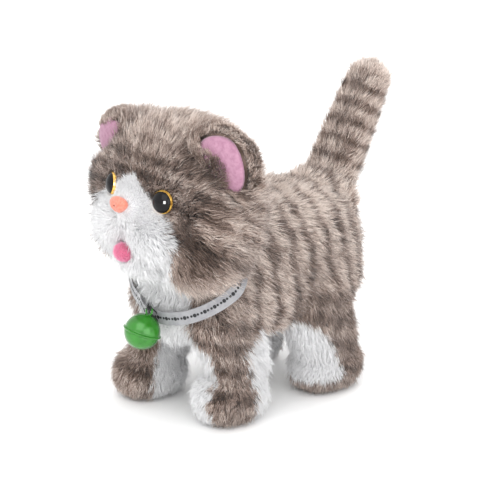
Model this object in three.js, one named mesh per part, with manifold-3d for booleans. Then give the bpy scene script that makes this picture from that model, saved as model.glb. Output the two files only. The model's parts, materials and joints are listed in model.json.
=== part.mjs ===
// A walking plush kitten: fur covers over a geared plastic mechanism that swings its legs.
// Millimetres, +Z up. The kitten faces -Y and its left side is +X.
// The origin is on the floor, under the middle of the bounding box.
import * as THREE from 'three';
import { mergeVertices } from 'three/addons/utils/BufferGeometryUtils.js';
import Module from 'manifold-3d';

const wasm = await Module();
wasm.setup();

// ---------------------------------------------------------------- driving dimensions
const gap = 0.3;                 // between pieces that touch
const rad = Math.PI / 180;

const torso = { centre: [0, 0, 69], semi: [34, 60, 37.5], power: 3 };
const head = { centre: [0, -46.1, 107], semi: [48, 37, 44], power: 2.15 };
const ear = { centre: [39.5, -47.5, 135], semi: [14.5, 7, 16.5], splay: 40, turn: 16 };
const earFelt = { semi: [11.6, 1.1, 13.6], proud: 0.3 };
const skull = { centre: [0, -44.5, 107.5], semi: [36, 25, 32], wall: 2 };
const neckPivot = [-36, 97];     // y, z
const nodClearance = 2.5;        // between the head plush and the chassis

const chassis = { half: 19.5, front: -46, rear: 46, bottom: 39.5, top: 92, chamfer: 7, wall: 1.8 };
const shelf = { top: 62, rear: -27, slopeTop: -6 }; // the chassis is lower under the head
const hipHeight = 52;
const hipY = { front: -40.5, hind: 23 };
const stride = 6;                // each foot stands this far before or behind its neutral place
const lean = Math.asin(stride / hipHeight);
const walkRange = [-16.5, 3.4];  // of the left legs, in degrees
const footX = 25;
const legInner = 24.6;           // the inner face of the leg plush above the foot
const foot = { semi: [16.8, 21, 15], power: 2.4, back: -1.5, centre: 13 };
const shin = { top: 15.5, bottom: 15, length: 34, centre: 25 };
const thigh = { thick: 12.5, power: 2.2 };
const axleR = 1.5;

const shaft = [0, 68];           // crank shaft, y and z
const lever = shaft[1] - hipHeight;
const crankR = 2.8;
const gearModule = 0.5;
const wheelTeeth = 30;
const pinionTeeth = 10;
const meshDistance = gearModule * (wheelTeeth + pinionTeeth) / 2;
const trainAngles = [34, 24, -8]; // from each gear centre to the next, away from the crank shaft

const cell = { radius: 7.15, length: 50.2, x: 7.7, z: 48, front: -34.9 };
const tray = { half: 16.8, front: -37.6, rear: 20.6, bottom: 39.2, top: 56.8, wall: 1.3 };
const cover = { half: 17.6, front: -38.6, rear: 31.5, low: 36.8, high: 38.9 };
const coverScrewY = 28;
const motor = { radius: 7.75, flat: 6, from: -15, to: 5 };
const speaker = { radius: 13, y: -17.5, low: 57.4, high: 62 };

const tail = { base: [50, 100], tip: [81.1, 160.5], radii: [13.6, 13.4, 12.8, 12, 11], wag: 14 };
const tailHub = [48.7, 80];      // y, z of the wag axis, which runs along y
const ribbon = { centre: [-35.2, 82.5], semi: [43.6, 40.9], tilt: 41.9, width: 6, thick: 0.6 };
const bell = { centre: [5.6, -74, 49.5], radius: 8.75, wall: 0.75, loopR: 2.1, loopUp: 1.8 };
const bellTilt = [-20, 6];       // turned about x, then y
const bellSlotTurn = -39;        // of the slot, about the bell's own upright line
const nose = { centre: [0, -82.1, 112.5], semi: [5.4, 3.2, 3.8] };
const tongue = { centre: [0, -78.1, 88], semi: [4.8, 5, 4] };
const eye = { centre: [19, -67.9, 116.5], radius: 5.2, dome: 3.6, aim: [0.35, -0.92, 0.15] };

// ---------------------------------------------------------------- colours
const finish = {
  fur: [0x97897f, 1, 0], felt: [0xe0a8c4, 0.95, 0],
  nose: [0xf4b49f, 0.6, 0], tongue: [0xf486b0, 0.9, 0], eye: [0x15100c, 0.08, 0],
  chassis: [0xd9d7d0, 0.5, 0], frame: [0xe8e6e0, 0.45, 0], gear: [0xf0ece0, 0.4, 0],
  steel: [0xb8babd, 0.3, 0.9], tinned: [0xcfcfcc, 0.25, 0.9], board: [0x2f6b3c, 0.5, 0],
  motor: [0xa7a9ac, 0.35, 0.8], speaker: [0x26262a, 0.7, 0.1], knob: [0x2a2a2c, 0.5, 0],
  cell: [0x3a3f48, 0.35, 0.2], ribbon: [0xbbbbbc, 0.6, 0], thread: [0x141414, 0.9, 0],
  bell: [0x4f9e3e, 0.3, 0.2],
};

// ---------------------------------------------------------------- shape helpers
function solidOf(geometry) {
  const bare = new THREE.BufferGeometry();
  bare.setAttribute('position', geometry.attributes.position.clone());
  if (geometry.index) bare.setIndex(geometry.index.clone());
  const merged = mergeVertices(bare, 1e-4);
  const triVerts = [];
  for (let i = 0; i < merged.index.count; i += 3) {
    const [a, b, c] = [0, 1, 2].map((k) => merged.index.getX(i + k));
    if (a !== b && b !== c && a !== c) triVerts.push(a, b, c);
  }
  const mesh = new wasm.Mesh({
    numProp: 3,
    vertProperties: new Float32Array(merged.attributes.position.array),
    triVerts: new Uint32Array(triVerts),
  });
  return new wasm.Manifold(mesh);
}

function geometryOf(solid) {
  const mesh = solid.getMesh();
  const geometry = new THREE.BufferGeometry();
  geometry.setAttribute('position', new THREE.BufferAttribute(mesh.vertProperties, 3));
  geometry.setIndex(new THREE.BufferAttribute(mesh.triVerts, 1));
  return geometry;
}

function join(first, ...others) {
  return geometryOf(others.reduce((sum, other) => sum.add(solidOf(other)), solidOf(first)));
}

function cut(first, ...tools) {
  return geometryOf(tools.reduce((rest, tool) => rest.subtract(solidOf(tool)), solidOf(first)));
}

function common(first, second) {
  return geometryOf(solidOf(first).intersect(solidOf(second)));
}

function mirrored(geometry) {
  const copy = geometry.clone().applyMatrix4(new THREE.Matrix4().makeScale(-1, 1, 1));
  for (let i = 0; i < copy.index.count; i += 3) {
    const b = copy.index.getX(i + 1);
    copy.index.setX(i + 1, copy.index.getX(i + 2));
    copy.index.setX(i + 2, b);
  }
  return copy;
}

function turnedY(geometry, z, angle) {
  return geometry.clone().translate(0, 0, -z).rotateY(angle).translate(0, 0, z);
}

function box([x0, x1], [y0, y1], [z0, z1]) {
  return new THREE.BoxGeometry(x1 - x0, y1 - y0, z1 - z0)
    .translate((x0 + x1) / 2, (y0 + y1) / 2, (z0 + z1) / 2);
}

// A cylinder along x through a point given as y and z.
function rodX(radius, x0, x1, [y, z], sides = 16) {
  return new THREE.CylinderGeometry(radius, radius, x1 - x0, sides)
    .rotateZ(Math.PI / 2).translate((x0 + x1) / 2, y, z);
}

function rodY(radius, y0, y1, [x, z], sides = 16) {
  return new THREE.CylinderGeometry(radius, radius, y1 - y0, sides)
    .translate(x, (y0 + y1) / 2, z);
}

function rodZ(radius, z0, z1, [x, y], sides = 16) {
  return new THREE.CylinderGeometry(radius, radius, z1 - z0, sides)
    .rotateX(Math.PI / 2).translate(x, y, (z0 + z1) / 2);
}

// A flat plate from x0 to x1 whose outline is drawn in y and z.
function plateX(outline, x0, x1) {
  const yzx = new THREE.Matrix4().makeBasis(
    new THREE.Vector3(0, 1, 0), new THREE.Vector3(0, 0, 1), new THREE.Vector3(1, 0, 0));
  return new THREE.ExtrudeGeometry(outline, { depth: x1 - x0, bevelEnabled: false })
    .applyMatrix4(yzx).translate(x0, 0, 0);
}

function outlineOf(points) {
  return new THREE.Shape(points.map(([u, v]) => new THREE.Vector2(u, v)));
}

// A rounded lump: an ellipsoid at power 2 that grows boxier as the power rises.
function lump(semi, power, [wide, tall] = [24, 14]) {
  const geometry = new THREE.SphereGeometry(1, wide, tall).rotateX(Math.PI / 2);
  const at = geometry.attributes.position;
  for (let i = 0; i < at.count; i += 1) {
    const p = [at.getX(i), at.getY(i), at.getZ(i)];
    const sum = p.reduce((total, value, k) => total + Math.abs(value / semi[k]) ** power, 0);
    const reach = sum ** (-1 / power);
    at.setXYZ(i, p[0] * reach, p[1] * reach, p[2] * reach);
  }
  return geometry;
}

function grown(semi, by) {
  return semi.map((value) => value + by);
}

function torus(radius, tube, [around, sides] = [20, 8]) {
  return new THREE.TorusGeometry(radius, tube, sides, around);
}

// ---------------------------------------------------------------- chassis
function chassisOutline(inset) {
  const [f, r] = [chassis.front + inset, chassis.rear - inset];
  const [b, t] = [chassis.bottom + inset, chassis.top - inset];
  const c = chassis.chamfer - inset * (2 - Math.SQRT2);
  return outlineOf([[f + c, b], [r - c, b], [r, b + c], [r, t - c], [r - c, t],
    [shelf.slopeTop + inset, t], [shelf.rear + inset, shelf.top - inset],
    [f, shelf.top - inset], [f, b + c]]);
}

const screwPlaces = { front: [-40.8, 57.8], middle: [-3.6, 83.5], rear: [40.5, 60] };
const screwHeadR = 2.4;
const screwR = 1.2;
const bossR = 3.2;
const lug = { from: 7.2, to: 10.2, radius: 4 };

function soundSlots() {
  return [-32.5, -30, -27.5].map((y) => box([-6, 6], [y - 0.6, y + 0.6], [shelf.top - 3, shelf.top + 2]));
}

function chassisHalf(side) {
  const x = (a, b) => (side > 0 ? [a, b] : [-b, -a]);
  const seam = gap / 2;
  const span = x(seam, chassis.half);
  const inner = x(seam - 1, chassis.half - chassis.wall);
  let half = cut(plateX(chassisOutline(0), ...span), plateX(chassisOutline(chassis.wall), ...inner));
  const bosses = Object.values(screwPlaces).map((at) => rodX(bossR, ...span, at, 12));
  half = join(half, ...bosses);
  const lugEye = rodX(lug.radius, ...x(lug.from, lug.to), neckPivot, 14);
  const neck = box(x(lug.from, lug.to), [neckPivot[0] - 4, neckPivot[0] + 4], [shelf.top - 1, neckPivot[1]]);
  half = join(half, lugEye, neck);
  if (side < 0) {
    const at = gearCentres().pinion;
    half = join(half, box([-chassis.half + 1, -3], [at[0] - 6, at[0] + 6], [57.5, at[1] - 4]));
    half = cut(half, motorBody(gap));
  }
  const wide = [-40, 40];
  return cut(half,
    rodX(axleR + gap, ...wide, [hipY.front, hipHeight], 14),
    rodX(axleR + gap, ...wide, [hipY.hind, hipHeight], 14),
    rodX(axleR + gap, ...wide, shaft, 14),
    rodX(axleR + gap, ...wide, neckPivot, 14),
    ...Object.values(screwPlaces).map((at) => rodX(screwR + gap, ...wide, at, 12)),
    ...Object.values(screwPlaces).map((at) => rodX(screwHeadR + gap, chassis.half - 2.6, 25, at, 14)),
    rodY(1.5 + gap, 40, 60, [0, tailHub[1]], 14),
    box([-tray.half - gap, tray.half + gap], [tray.front - gap, tray.rear + gap], [30, tray.top + gap]),
    rodZ(1.1 + gap, 30, 52, [0, coverScrewY], 12),
    box([-4, 4], [34.4, 37.6], [30, chassis.bottom + chassis.wall + 1]),
    ...soundSlots());
}

function screwAlongX(at, tip) {
  const headFrom = chassis.half - 2.2;
  return join(rodX(screwHeadR, headFrom, chassis.half - 0.2, at, 14),
    rodX(screwR, tip, headFrom + 0.5, at, 12));
}

// ---------------------------------------------------------------- battery compartment and switch
function batteryTray() {
  const shell = box([-tray.half, tray.half], [tray.front, tray.rear], [tray.bottom, tray.top]);
  const [w, t] = [tray.wall, tray];
  return cut(shell, box([-t.half + w, t.half - w], [t.front + w, t.rear - w], [t.bottom - 1, t.top - w]));
}

function batteryCell(x, forward) {
  const body = rodY(cell.radius, cell.front, cell.front + cell.length - 1.4, [x, cell.z], 18);
  const nub = rodY(2.6, cell.front + cell.length - 1.6, cell.front + cell.length, [x, cell.z], 12);
  const whole = join(body, nub);
  const middle = 2 * cell.front + cell.length;
  return forward ? whole : whole.clone().rotateZ(Math.PI).translate(2 * x, middle, 0);
}

function contactSpring(x) {
  const turns = 2.5;
  const length = 2.2;
  const points = [];
  for (let i = 0; i <= 15; i += 1) {
    const t = i / 15;
    const angle = t * turns * 2 * Math.PI;
    const r = 4.6 - 2 * t;
    points.push(new THREE.Vector3(r * Math.cos(angle), -t * length, r * Math.sin(angle)));
  }
  const wireR = 0.3;
  const wire = outlineOf([[wireR, 0], [0, wireR], [-wireR, 0], [0, -wireR]]);
  const path = new THREE.CatmullRomCurve3(points);
  return new THREE.ExtrudeGeometry(wire, { steps: 20, extrudePath: path, bevelEnabled: false })
    .translate(x, tray.rear - tray.wall - 0.7, cell.z);
}

function contactPlate() {
  const y = tray.front + tray.wall + gap;
  return box([-cell.x - 4, cell.x + 4], [y, y + 0.5], [cell.z - 4, cell.z + 4]);
}

function batteryCover() {
  const plate = box([-cover.half, cover.half], [cover.front, cover.rear], [cover.low, cover.high]);
  const grips = [0, 1, 2, 3].map((k) => box([-7, 7], [-35 + 2.6 * k, -34 + 2.6 * k],
    [cover.low - 0.5, cover.low + 0.7]));
  const sunk = rodZ(3.2, cover.low - 1, cover.low + 0.9, [0, coverScrewY], 16);
  return cut(cut(plate, ...grips), sunk, rodZ(1.1 + gap, 30, 45, [0, coverScrewY], 12));
}

function coverScrew() {
  const headLow = cover.low - 0.4;
  const head0 = rodZ(2.6, headLow, cover.low + 0.6, [0, coverScrewY], 14);
  const shank = rodZ(1.1, cover.low + 0.5, 46, [0, coverScrewY], 12);
  const slot = box([-3, 3], [coverScrewY - 0.4, coverScrewY + 0.4], [headLow - 1, headLow + 0.5]);
  return cut(join(head0, shank), slot);
}

const switchY = [33.4, 38.2];
const knobWidth = 3.4;
const switchTravel = 3;

function switchHousing() {
  const floor0 = chassis.bottom + chassis.wall + gap;
  const block = box([-6.5, 6.5], switchY, [floor0, floor0 + 5]);
  return cut(block, box([-4, 4], [34.4, 37.6], [floor0 - 1, floor0 + 3]));
}

function switchKnob() {
  const left = -switchTravel / 2 - knobWidth / 2;
  return box([left, left + knobWidth], [34.7, 37.3], [chassis.bottom - 2.2, chassis.bottom + 4]);
}

// ---------------------------------------------------------------- gears
function gearCentres() {
  const step = ([y, z], degrees) => [
    y + meshDistance * Math.cos(degrees * rad), z + meshDistance * Math.sin(degrees * rad)];
  const second = step(shaft, trainAngles[0]);
  const first = step(second, trainAngles[1]);
  const pinion = step(first, trainAngles[2]);
  return { second, first, pinion };
}

// A toothed wheel along x. phase is the angle of one tooth's middle.
function toothed(teeth, phase, [x0, x1], at, boreR) {
  const pitch = 2 * Math.PI / teeth;
  const root = gearModule * (teeth / 2 - 1.2);
  const tip = gearModule * (teeth / 2 + 0.85);
  const points = [];
  for (let k = 0; k < teeth; k += 1) {
    const middle = phase + k * pitch;
    const flank = [[root, -0.27], [tip, -0.11], [tip, 0.11], [root, 0.27]];
    flank.forEach(([r, share]) => {
      const angle = middle + share * pitch;
      points.push([r * Math.cos(angle), r * Math.sin(angle)]);
    });
  }
  const outline = outlineOf(points);
  if (boreR) {
    const bore = new THREE.Path();
    bore.absarc(0, 0, boreR, 0, 2 * Math.PI, true);
    outline.holes.push(bore);
  }
  const curveSegments = 10;
  const yzx = new THREE.Matrix4().makeBasis(
    new THREE.Vector3(0, 1, 0), new THREE.Vector3(0, 0, 1), new THREE.Vector3(1, 0, 0));
  return new THREE.ExtrudeGeometry(outline, { depth: x1 - x0, bevelEnabled: false, curveSegments })
    .applyMatrix4(yzx).translate(x0, at[0], at[1]);
}

// A wheel and a pinion moulded together. The wheel meets the driver at driverAngle,
// and the pinion meets the next wheel at drivenAngle.
function compoundGear(at, wheelX, pinionX, driverAngle, drivenAngle) {
  const wheelPhase = driverAngle * rad + Math.PI / wheelTeeth;
  const bore = 1 + gap;
  const wheel = toothed(wheelTeeth, wheelPhase, wheelX, at, bore);
  const pinion = toothed(pinionTeeth, drivenAngle * rad, pinionX, at, bore);
  return join(wheel, pinion);
}

function motorBody(extra = 0) {
  const at = gearCentres().pinion;
  const span = [motor.from - extra, motor.to + extra];
  const can = rodX(motor.radius + extra, ...span, at, 24);
  const flat = motor.flat + extra;
  return common(can, box([span[0] - 1, span[1] + 1], [at[0] - 20, at[0] + 20], [at[1] - flat, at[1] + flat]));
}

function motorWithShaft() {
  const at = gearCentres().pinion;
  const boss = rodX(2.6, motor.to - 0.5, motor.to + 1.2, at, 14);
  return join(motorBody(), boss, rodX(0.8, motor.to, 13.8, at, 10));
}

function crankWheel(side) {
  const x = (a, b) => (side > 0 ? [a, b] : [-b, -a]);
  const pinY = -side * lever * Math.sin(lean);
  const pinZ = side * Math.sqrt(crankR ** 2 - pinY ** 2);
  const disc = rodX(6, ...x(19.9, 21.2), shaft, 20);
  const pin = rodX(1.3, ...x(21, 22.6), [shaft[0] + pinY, shaft[1] + pinZ], 12);
  return cut(join(disc, pin), rodX(axleR + gap, ...x(19, 20.6), shaft, 14));
}

// ---------------------------------------------------------------- legs, drawn about the hip
const plate = { from: 24.7, to: 27.7 };
const thighR = 16.6;
const footPlate = { x: [17.5, 32.5], half: 14, low: -47, high: -43.5 };

// The plastic leg inside the plush. extra grows it, to cut the room that it needs.
function legFrameShape(extra) {
  const [x0, x1] = [plate.from - extra, plate.to + extra];
  const e = extra;
  return join(
    rodX(8 + e, x0, x1, [0, 0], 20),
    box([x0, x1], [-3.2 - e, 3.2 + e], [0, lever]),
    rodX(3.2 + e, x0, x1, [0, lever], 14),
    box([x0, x1], [-5 - e, 5 + e], [footPlate.low + 1, 0]),
    box([footPlate.x[0] - e, footPlate.x[1] + e], [-footPlate.half - e, footPlate.half + e],
      [footPlate.low - e, footPlate.high + e]));
}

function legFrame(sign) {
  const pin = rodX(1.3, 22.6, plate.from + 0.5, [0, lever], 12);
  const whole = cut(join(legFrameShape(0), pin), rodX(axleR + gap, 20, 30, [0, 0], 14));
  return whole.rotateX(sign * lean);
}

// Shifts a standing leg so that its foot lies ahead of or behind the hip, with the sole level.
function stepped(geometry, sign) {
  const [ankle, hip] = [-38, -12];
  const at = geometry.attributes.position;
  for (let i = 0; i < at.count; i += 1) {
    const share = THREE.MathUtils.clamp((hip - at.getZ(i)) / (hip - ankle), 0, 1);
    at.setY(i, at.getY(i) + sign * stride * share);
  }
  return geometry;
}

function legSkin(sign, extra, detail) {
  const paw = lump(grown(foot.semi, extra), foot.power, detail)
    .translate(footX, foot.back, foot.centre - hipHeight);
  const column = new THREE.CylinderGeometry(
    shin.top + extra, shin.bottom + extra, shin.length, detail[0])
    .rotateX(Math.PI / 2).translate(footX, 0, shin.centre - hipHeight);
  const haunch = lump(grown([thigh.thick, thighR, thighR], extra), thigh.power, detail)
    .translate(legInner - 0.5, 0, 0);
  return join(stepped(join(paw, column), sign), haunch);
}

function legPlush(sign) {
  const below = box([-10, 60], [-60, 60], [-90, -hipHeight]);
  const belowBelly = box([-10, legInner], [-60, 60], [-25.5, 60]);
  const pocket = join(legFrameShape(gap), box([22, plate.to], [-4, 4], [-26, 4])).rotateX(sign * lean);
  return cut(legSkin(sign, 0, [14, 10]), below, belowBelly, pocket, rodX(2.4, 20, 30, [0, 0], 14));
}

// The room that a left leg sweeps through, for cutting the torso.
function legRoom(sign) {
  const round = join(rodX(thighR + 1.4, legInner - 1.2, 45, [0, 0], 24),
    rodX(lever + 5.6, legInner - 1.2, plate.to + 1, [0, 0], 24));
  const sweep = new THREE.CylinderGeometry(18.8, 18.8, 30, 12).rotateX(Math.PI / 2)
    .translate(footX, sign * stride / 2, -25);
  const [low, high] = sign > 0 ? walkRange : [-walkRange[1], -walkRange[0]];
  const turns = [low, 0, high];
  const bore = rodX(axleR + 0.5, 0, legInner, [0, 0], 12);
  return join(round, bore, ...turns.map((degrees) => sweep.clone().rotateX(degrees * rad)));
}

function linkRod() {
  const rodX0 = 22.9;
  const rodX1 = 24.3;
  const pinZ = hipHeight + lever * Math.cos(lean);
  const shift = -lever * Math.sin(lean);
  const ends = [hipY.front + shift, hipY.hind + shift];
  const slot = crankR + 1.3 + gap + 0.2;
  const bar = join(
    box([rodX0, rodX1], ends, [pinZ - 2.4, pinZ + 2.4]),
    ...ends.map((y) => rodX(3.3, rodX0, rodX1, [y, pinZ], 16)),
    box([rodX0, rodX1], [shift - 4.4, shift + 4.4], [shaft[1] - slot - 2.4, shaft[1] + slot + 2.4]));
  return cut(bar,
    ...ends.map((y) => rodX(1.3 + gap, rodX0 - 1, rodX1 + 1, [y, pinZ], 14)),
    box([rodX0 - 1, rodX1 + 1], [shift - 1.3 - gap, shift + 1.3 + gap], [shaft[1] - slot, shaft[1] + slot]));
}

// ---------------------------------------------------------------- head
function skullShell() {
  const outer = lump(skull.semi, 2, [20, 12]).translate(...skull.centre);
  const hollow = lump(grown(skull.semi, -skull.wall), 2, [20, 12]).translate(...skull.centre);
  const bridge = { front: -52, rear: -30, low: 104.5, high: 107 };
  const ledge = common(outer, box([-40, 40], [bridge.front, bridge.rear], [bridge.low, bridge.high]));
  const arm = box([-6.4, 6.4], [neckPivot[0] - 4, neckPivot[0] + 4], [neckPivot[1] - 3, bridge.high - 1]);
  const doorway = box([-13, 13], [-54, -18], [70, 103]);
  const shell = join(cut(outer, hollow, doorway), ledge, arm);
  const eyeHoles = [1, -1].map((side) => eyeShank(side, gap));
  return cut(shell, rodX(axleR + gap, -20, 20, neckPivot, 14), ...eyeHoles);
}

// Places a piece drawn along +Y (out of the face) at an eye.
function atEye(geometry, side) {
  const aim = new THREE.Vector3(side * eye.aim[0], eye.aim[1], eye.aim[2]).normalize();
  const turn = new THREE.Quaternion().setFromUnitVectors(new THREE.Vector3(0, 1, 0), aim);
  return geometry.applyQuaternion(turn).translate(side * eye.centre[0], eye.centre[1], eye.centre[2]);
}

function eyeShank(side, extra) {
  return atEye(new THREE.CylinderGeometry(1.6 + extra, 1.6 + extra, 9, 12).translate(0, -4.2, 0), side);
}

function eyePiece(side) {
  const rim = 0.6;               // height of the straight edge under the dome
  const steps = 5;
  const profile = [[0, 0], [eye.radius, 0]];
  for (let k = 0; k < steps; k += 1) {
    const angle = k / steps * Math.PI / 2;
    profile.push([eye.radius * Math.cos(angle), rim + eye.dome * Math.sin(angle)]);
  }
  profile.push([0, rim + eye.dome]);
  const dome = new THREE.LatheGeometry(profile.map(([r, y]) => new THREE.Vector2(r, y)), 16);
  return join(atEye(dome, side), eyeShank(side, 0));
}

function eyeSocket(side) {
  const cone = new THREE.CylinderGeometry(9, eye.radius + gap, 16, 16).translate(0, 8 - gap, 0);
  return join(atEye(cone, side), eyeShank(side, gap));
}

function earLump(side, by) {
  return lump(grown(ear.semi, by), 2.2, [14, 10])
    .rotateZ(side * ear.turn * rad).rotateY(side * ear.splay * rad)
    .translate(side * ear.centre[0], ear.centre[1], ear.centre[2]);
}

function innerEar(side, by = 0) {
  return lump(grown(earFelt.semi, by), 2.2, [14, 6]).translate(0, -ear.semi[1] - earFelt.proud, 0)
    .rotateZ(side * ear.turn * rad).rotateY(side * ear.splay * rad)
    .translate(side * ear.centre[0], ear.centre[1], ear.centre[2]);
}

function nosePad(by = 0) {
  return lump(grown(nose.semi, by), 2.4, [12, 8]).translate(...nose.centre);
}

function tonguePad(by = 0) {
  return lump(grown(tongue.semi, by), 2.2, [12, 8]).translate(...tongue.centre);
}

function ribbonBand(by) {
  const [a, b] = ribbon.semi;
  const ring = new THREE.Shape();
  ring.absellipse(0, 0, a + ribbon.thick + by, b + ribbon.thick + by, 0, 2 * Math.PI);
  const hole = new THREE.Path();
  hole.absellipse(0, 0, a - by, b - by, 0, 2 * Math.PI, true);
  ring.holes.push(hole);
  const depth = ribbon.width + 2 * by;
  return new THREE.ExtrudeGeometry(ring, { depth, bevelEnabled: false, curveSegments: 20 })
    .translate(0, 0, -depth / 2).rotateX(ribbon.tilt * rad)
    .translate(0, ribbon.centre[0], ribbon.centre[1]);
}

function headSkin(by, detail) {
  return lump(grown(head.semi, by), head.power, detail).translate(...head.centre);
}

function headPlush() {
  const ball = join(headSkin(0, [22, 14]), earLump(1, 0), earLump(-1, 0));
  const room = lump(grown(skull.semi, 0.4), 2, [20, 12]).translate(...skull.centre);
  const doorway = box([-15, 15], [-56, -16], [60, 103]);
  const reach = plate.to + nodClearance;
  const levers = box([-reach, reach], [-56, -26], [60, hipHeight + lever + 3.2 + nodClearance]);
  const clearHalf = chassis.half + nodClearance;
  const mechanism = plateX(chassisOutline(-nodClearance), -clearHalf, clearHalf);
  return cut(ball, room, doorway, levers, mechanism, eyeSocket(1), eyeSocket(-1),
    nosePad(gap), tonguePad(gap), innerEar(1, gap), innerEar(-1, gap));
}

// ---------------------------------------------------------------- tail, drawn standing at its base
const tailLean = Math.atan2(tail.tip[0] - tail.base[0], tail.tip[1] - tail.base[1]);
const tailLength = Math.hypot(tail.tip[0] - tail.base[0], tail.tip[1] - tail.base[1]);
const tailSunk = 9;               // how far the tail reaches into the rump

function alongTail(geometry) {
  return geometry.rotateX(-tailLean).translate(0, tail.base[0], tail.base[1]);
}

function tailSkin(by, sides) {
  const profile = [[0, -tailSunk - by]];
  const straight = tailLength - tail.radii[4];
  tail.radii.forEach((r, k) => profile.push([r + by, -tailSunk - by + (straight + tailSunk + by) * k / 4]));
  for (let k = 1; k <= 4; k += 1) {
    const angle = k * 22.5 * rad;
    profile.push([(tail.radii[4] + by) * Math.cos(angle), straight + (tail.radii[4] + by) * Math.sin(angle)]);
  }
  profile[profile.length - 1][0] = 0;
  const lathe = new THREE.LatheGeometry(profile.map(([r, y]) => new THREE.Vector2(r, y)), sides);
  return alongTail(lathe.rotateX(Math.PI / 2));
}

function tailArm(by = 0) {
  const rodLength = 48;
  const rod = new THREE.CylinderGeometry(2.4 + by, 2.4 + by, rodLength + 2 * by, 12)
    .rotateX(Math.PI / 2).translate(0, 0, rodLength / 2 - 3);
  return join(
    rodY(5 + by, tailHub[0] - 1.7 - by, tailHub[0] + 1.7 + by, [0, tailHub[1]], 16),
    box([-2.4 - by, 2.4 + by], [tailHub[0] - 1.5 - by, tailHub[0] + 1.5 + by],
      [tailHub[1], tail.base[1] + by]),
    alongTail(rod));
}

function wagged(geometry, steps) {
  const copies = [];
  for (let k = -steps; k <= steps; k += 1) {
    copies.push(turnedY(geometry, tailHub[1], k / steps * tail.wag * rad));
  }
  return join(...copies);
}

// ---------------------------------------------------------------- torso
function bodyPlush() {
  const outer = lump(torso.semi, torso.power, [24, 16]).translate(...torso.centre);
  const room = plateX(chassisOutline(-0.4), -chassis.half - 0.4, chassis.half + 0.4);
  const sideRoom = box([-24.9, 24.9], [-50, 34], [58, 78]);
  const hatch = box([-18.2, 18.2], [-39.4, 41], [20, 45]);
  const legs = [];
  Object.values(hipY).forEach((y) => [1, -1].forEach((side) => {
    const one = legRoom(side);
    legs.push((side > 0 ? one : mirrored(one)).translate(0, y, hipHeight));
  }));
  const nodRoom = headSkin(3, [24, 14]);
  const neckHole = box([-14, 14], [-46, -26], [55, 115]);
  const tailBore = rodY(6.4, 44, 54, [0, tailHub[1]], 16);
  return cut(outer, join(room, sideRoom, hatch), join(...legs), nodRoom, neckHole, tailBore,
    wagged(join(tailSkin(2.3, 12), tailArm(1)), 1));
}

// ---------------------------------------------------------------- bell
function tiltedBell(geometry) {
  return geometry.rotateX(bellTilt[0] * rad).rotateY(bellTilt[1] * rad).translate(...bell.centre);
}

function bellShell() {
  const ball = (radius) => new THREE.SphereGeometry(radius, 16, 10).rotateX(Math.PI / 2);
  const lip = { inner: bell.radius - 0.5, outer: bell.radius + 0.9, half: 0.5 };
  const seam = new THREE.LatheGeometry([
    [lip.inner, -lip.half], [lip.outer, -lip.half], [lip.outer, lip.half], [lip.inner, lip.half],
    [lip.inner, -lip.half]].map(([r, y]) => new THREE.Vector2(r, y)), 28).rotateX(Math.PI / 2);
  const loop = torus(bell.loopR, 0.45, [16, 6]).rotateX(Math.PI / 2).translate(0, 0, bell.radius + bell.loopUp);
  const slot = { half: 1, reach: 7, low: -12, high: -3, endR: 1.9, endHigh: -1 };
  const opening = [box([-slot.half, slot.half], [-slot.reach, slot.reach], [slot.low, slot.high]),
    ...[1, -1].map((end) => rodZ(slot.endR, slot.low, slot.endHigh, [0, end * slot.reach], 12))]
    .map((tool) => tool.rotateZ(bellSlotTurn * rad));
  const whole = cut(join(ball(bell.radius), seam, loop), ball(bell.radius - bell.wall), ...opening);
  return tiltedBell(whole);
}

// A flat loop of thread around the ribbon that holds the bell's own loop at its far end.
function bellThread() {
  const across = ribbon.width / 2;
  const loop = { low: -across - 1.1, high: across + 3.6, half: 1.35, wire: 0.7 };
  const stadium = (inset) => {
    const r = loop.half - inset;
    const [low, high] = [loop.low + inset + r, loop.high - inset - r];
    const outline = new THREE.Shape();
    outline.absarc(0, high, r, 0, Math.PI);
    outline.absarc(0, low, r, Math.PI, 2 * Math.PI);
    outline.closePath();
    return outline;
  };
  const x = bell.centre[0] + 1;
  const ring = cut(plateX(stadium(0), x - 0.4, x + 0.4), plateX(stadium(loop.wire), x - 1, x + 1));
  const middle = (ribbon.semi[1] + ribbon.thick / 2) * Math.sqrt(1 - (x / ribbon.semi[0]) ** 2);
  return ring.translate(0, -middle, 0).rotateX(ribbon.tilt * rad)
    .translate(0, ribbon.centre[0], ribbon.centre[1]);
}

// ---------------------------------------------------------------- assembly
const kitten = new THREE.Group();

function add(name, look, geometry) {
  const [color, roughness, metalness] = finish[look];
  geometry.computeVertexNormals();
  const mesh = new THREE.Mesh(geometry, new THREE.MeshStandardMaterial({ color, roughness, metalness }));
  mesh.name = name;
  kitten.add(mesh);
  return mesh;
}

function addPair(name, look, makeLeft) {
  const left = join(makeLeft());
  add(`${name}_left`, look, left);
  add(`${name}_right`, look, mirrored(left));
}

function addChassis() {
  add('chassis_left', 'chassis', chassisHalf(1));
  add('chassis_right', 'chassis', chassisHalf(-1));
  Object.entries(screwPlaces).forEach(([name, at]) => {
    add(`chassis_screw_${name}`, 'steel', screwAlongX(at, -14));
  });
}

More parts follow.
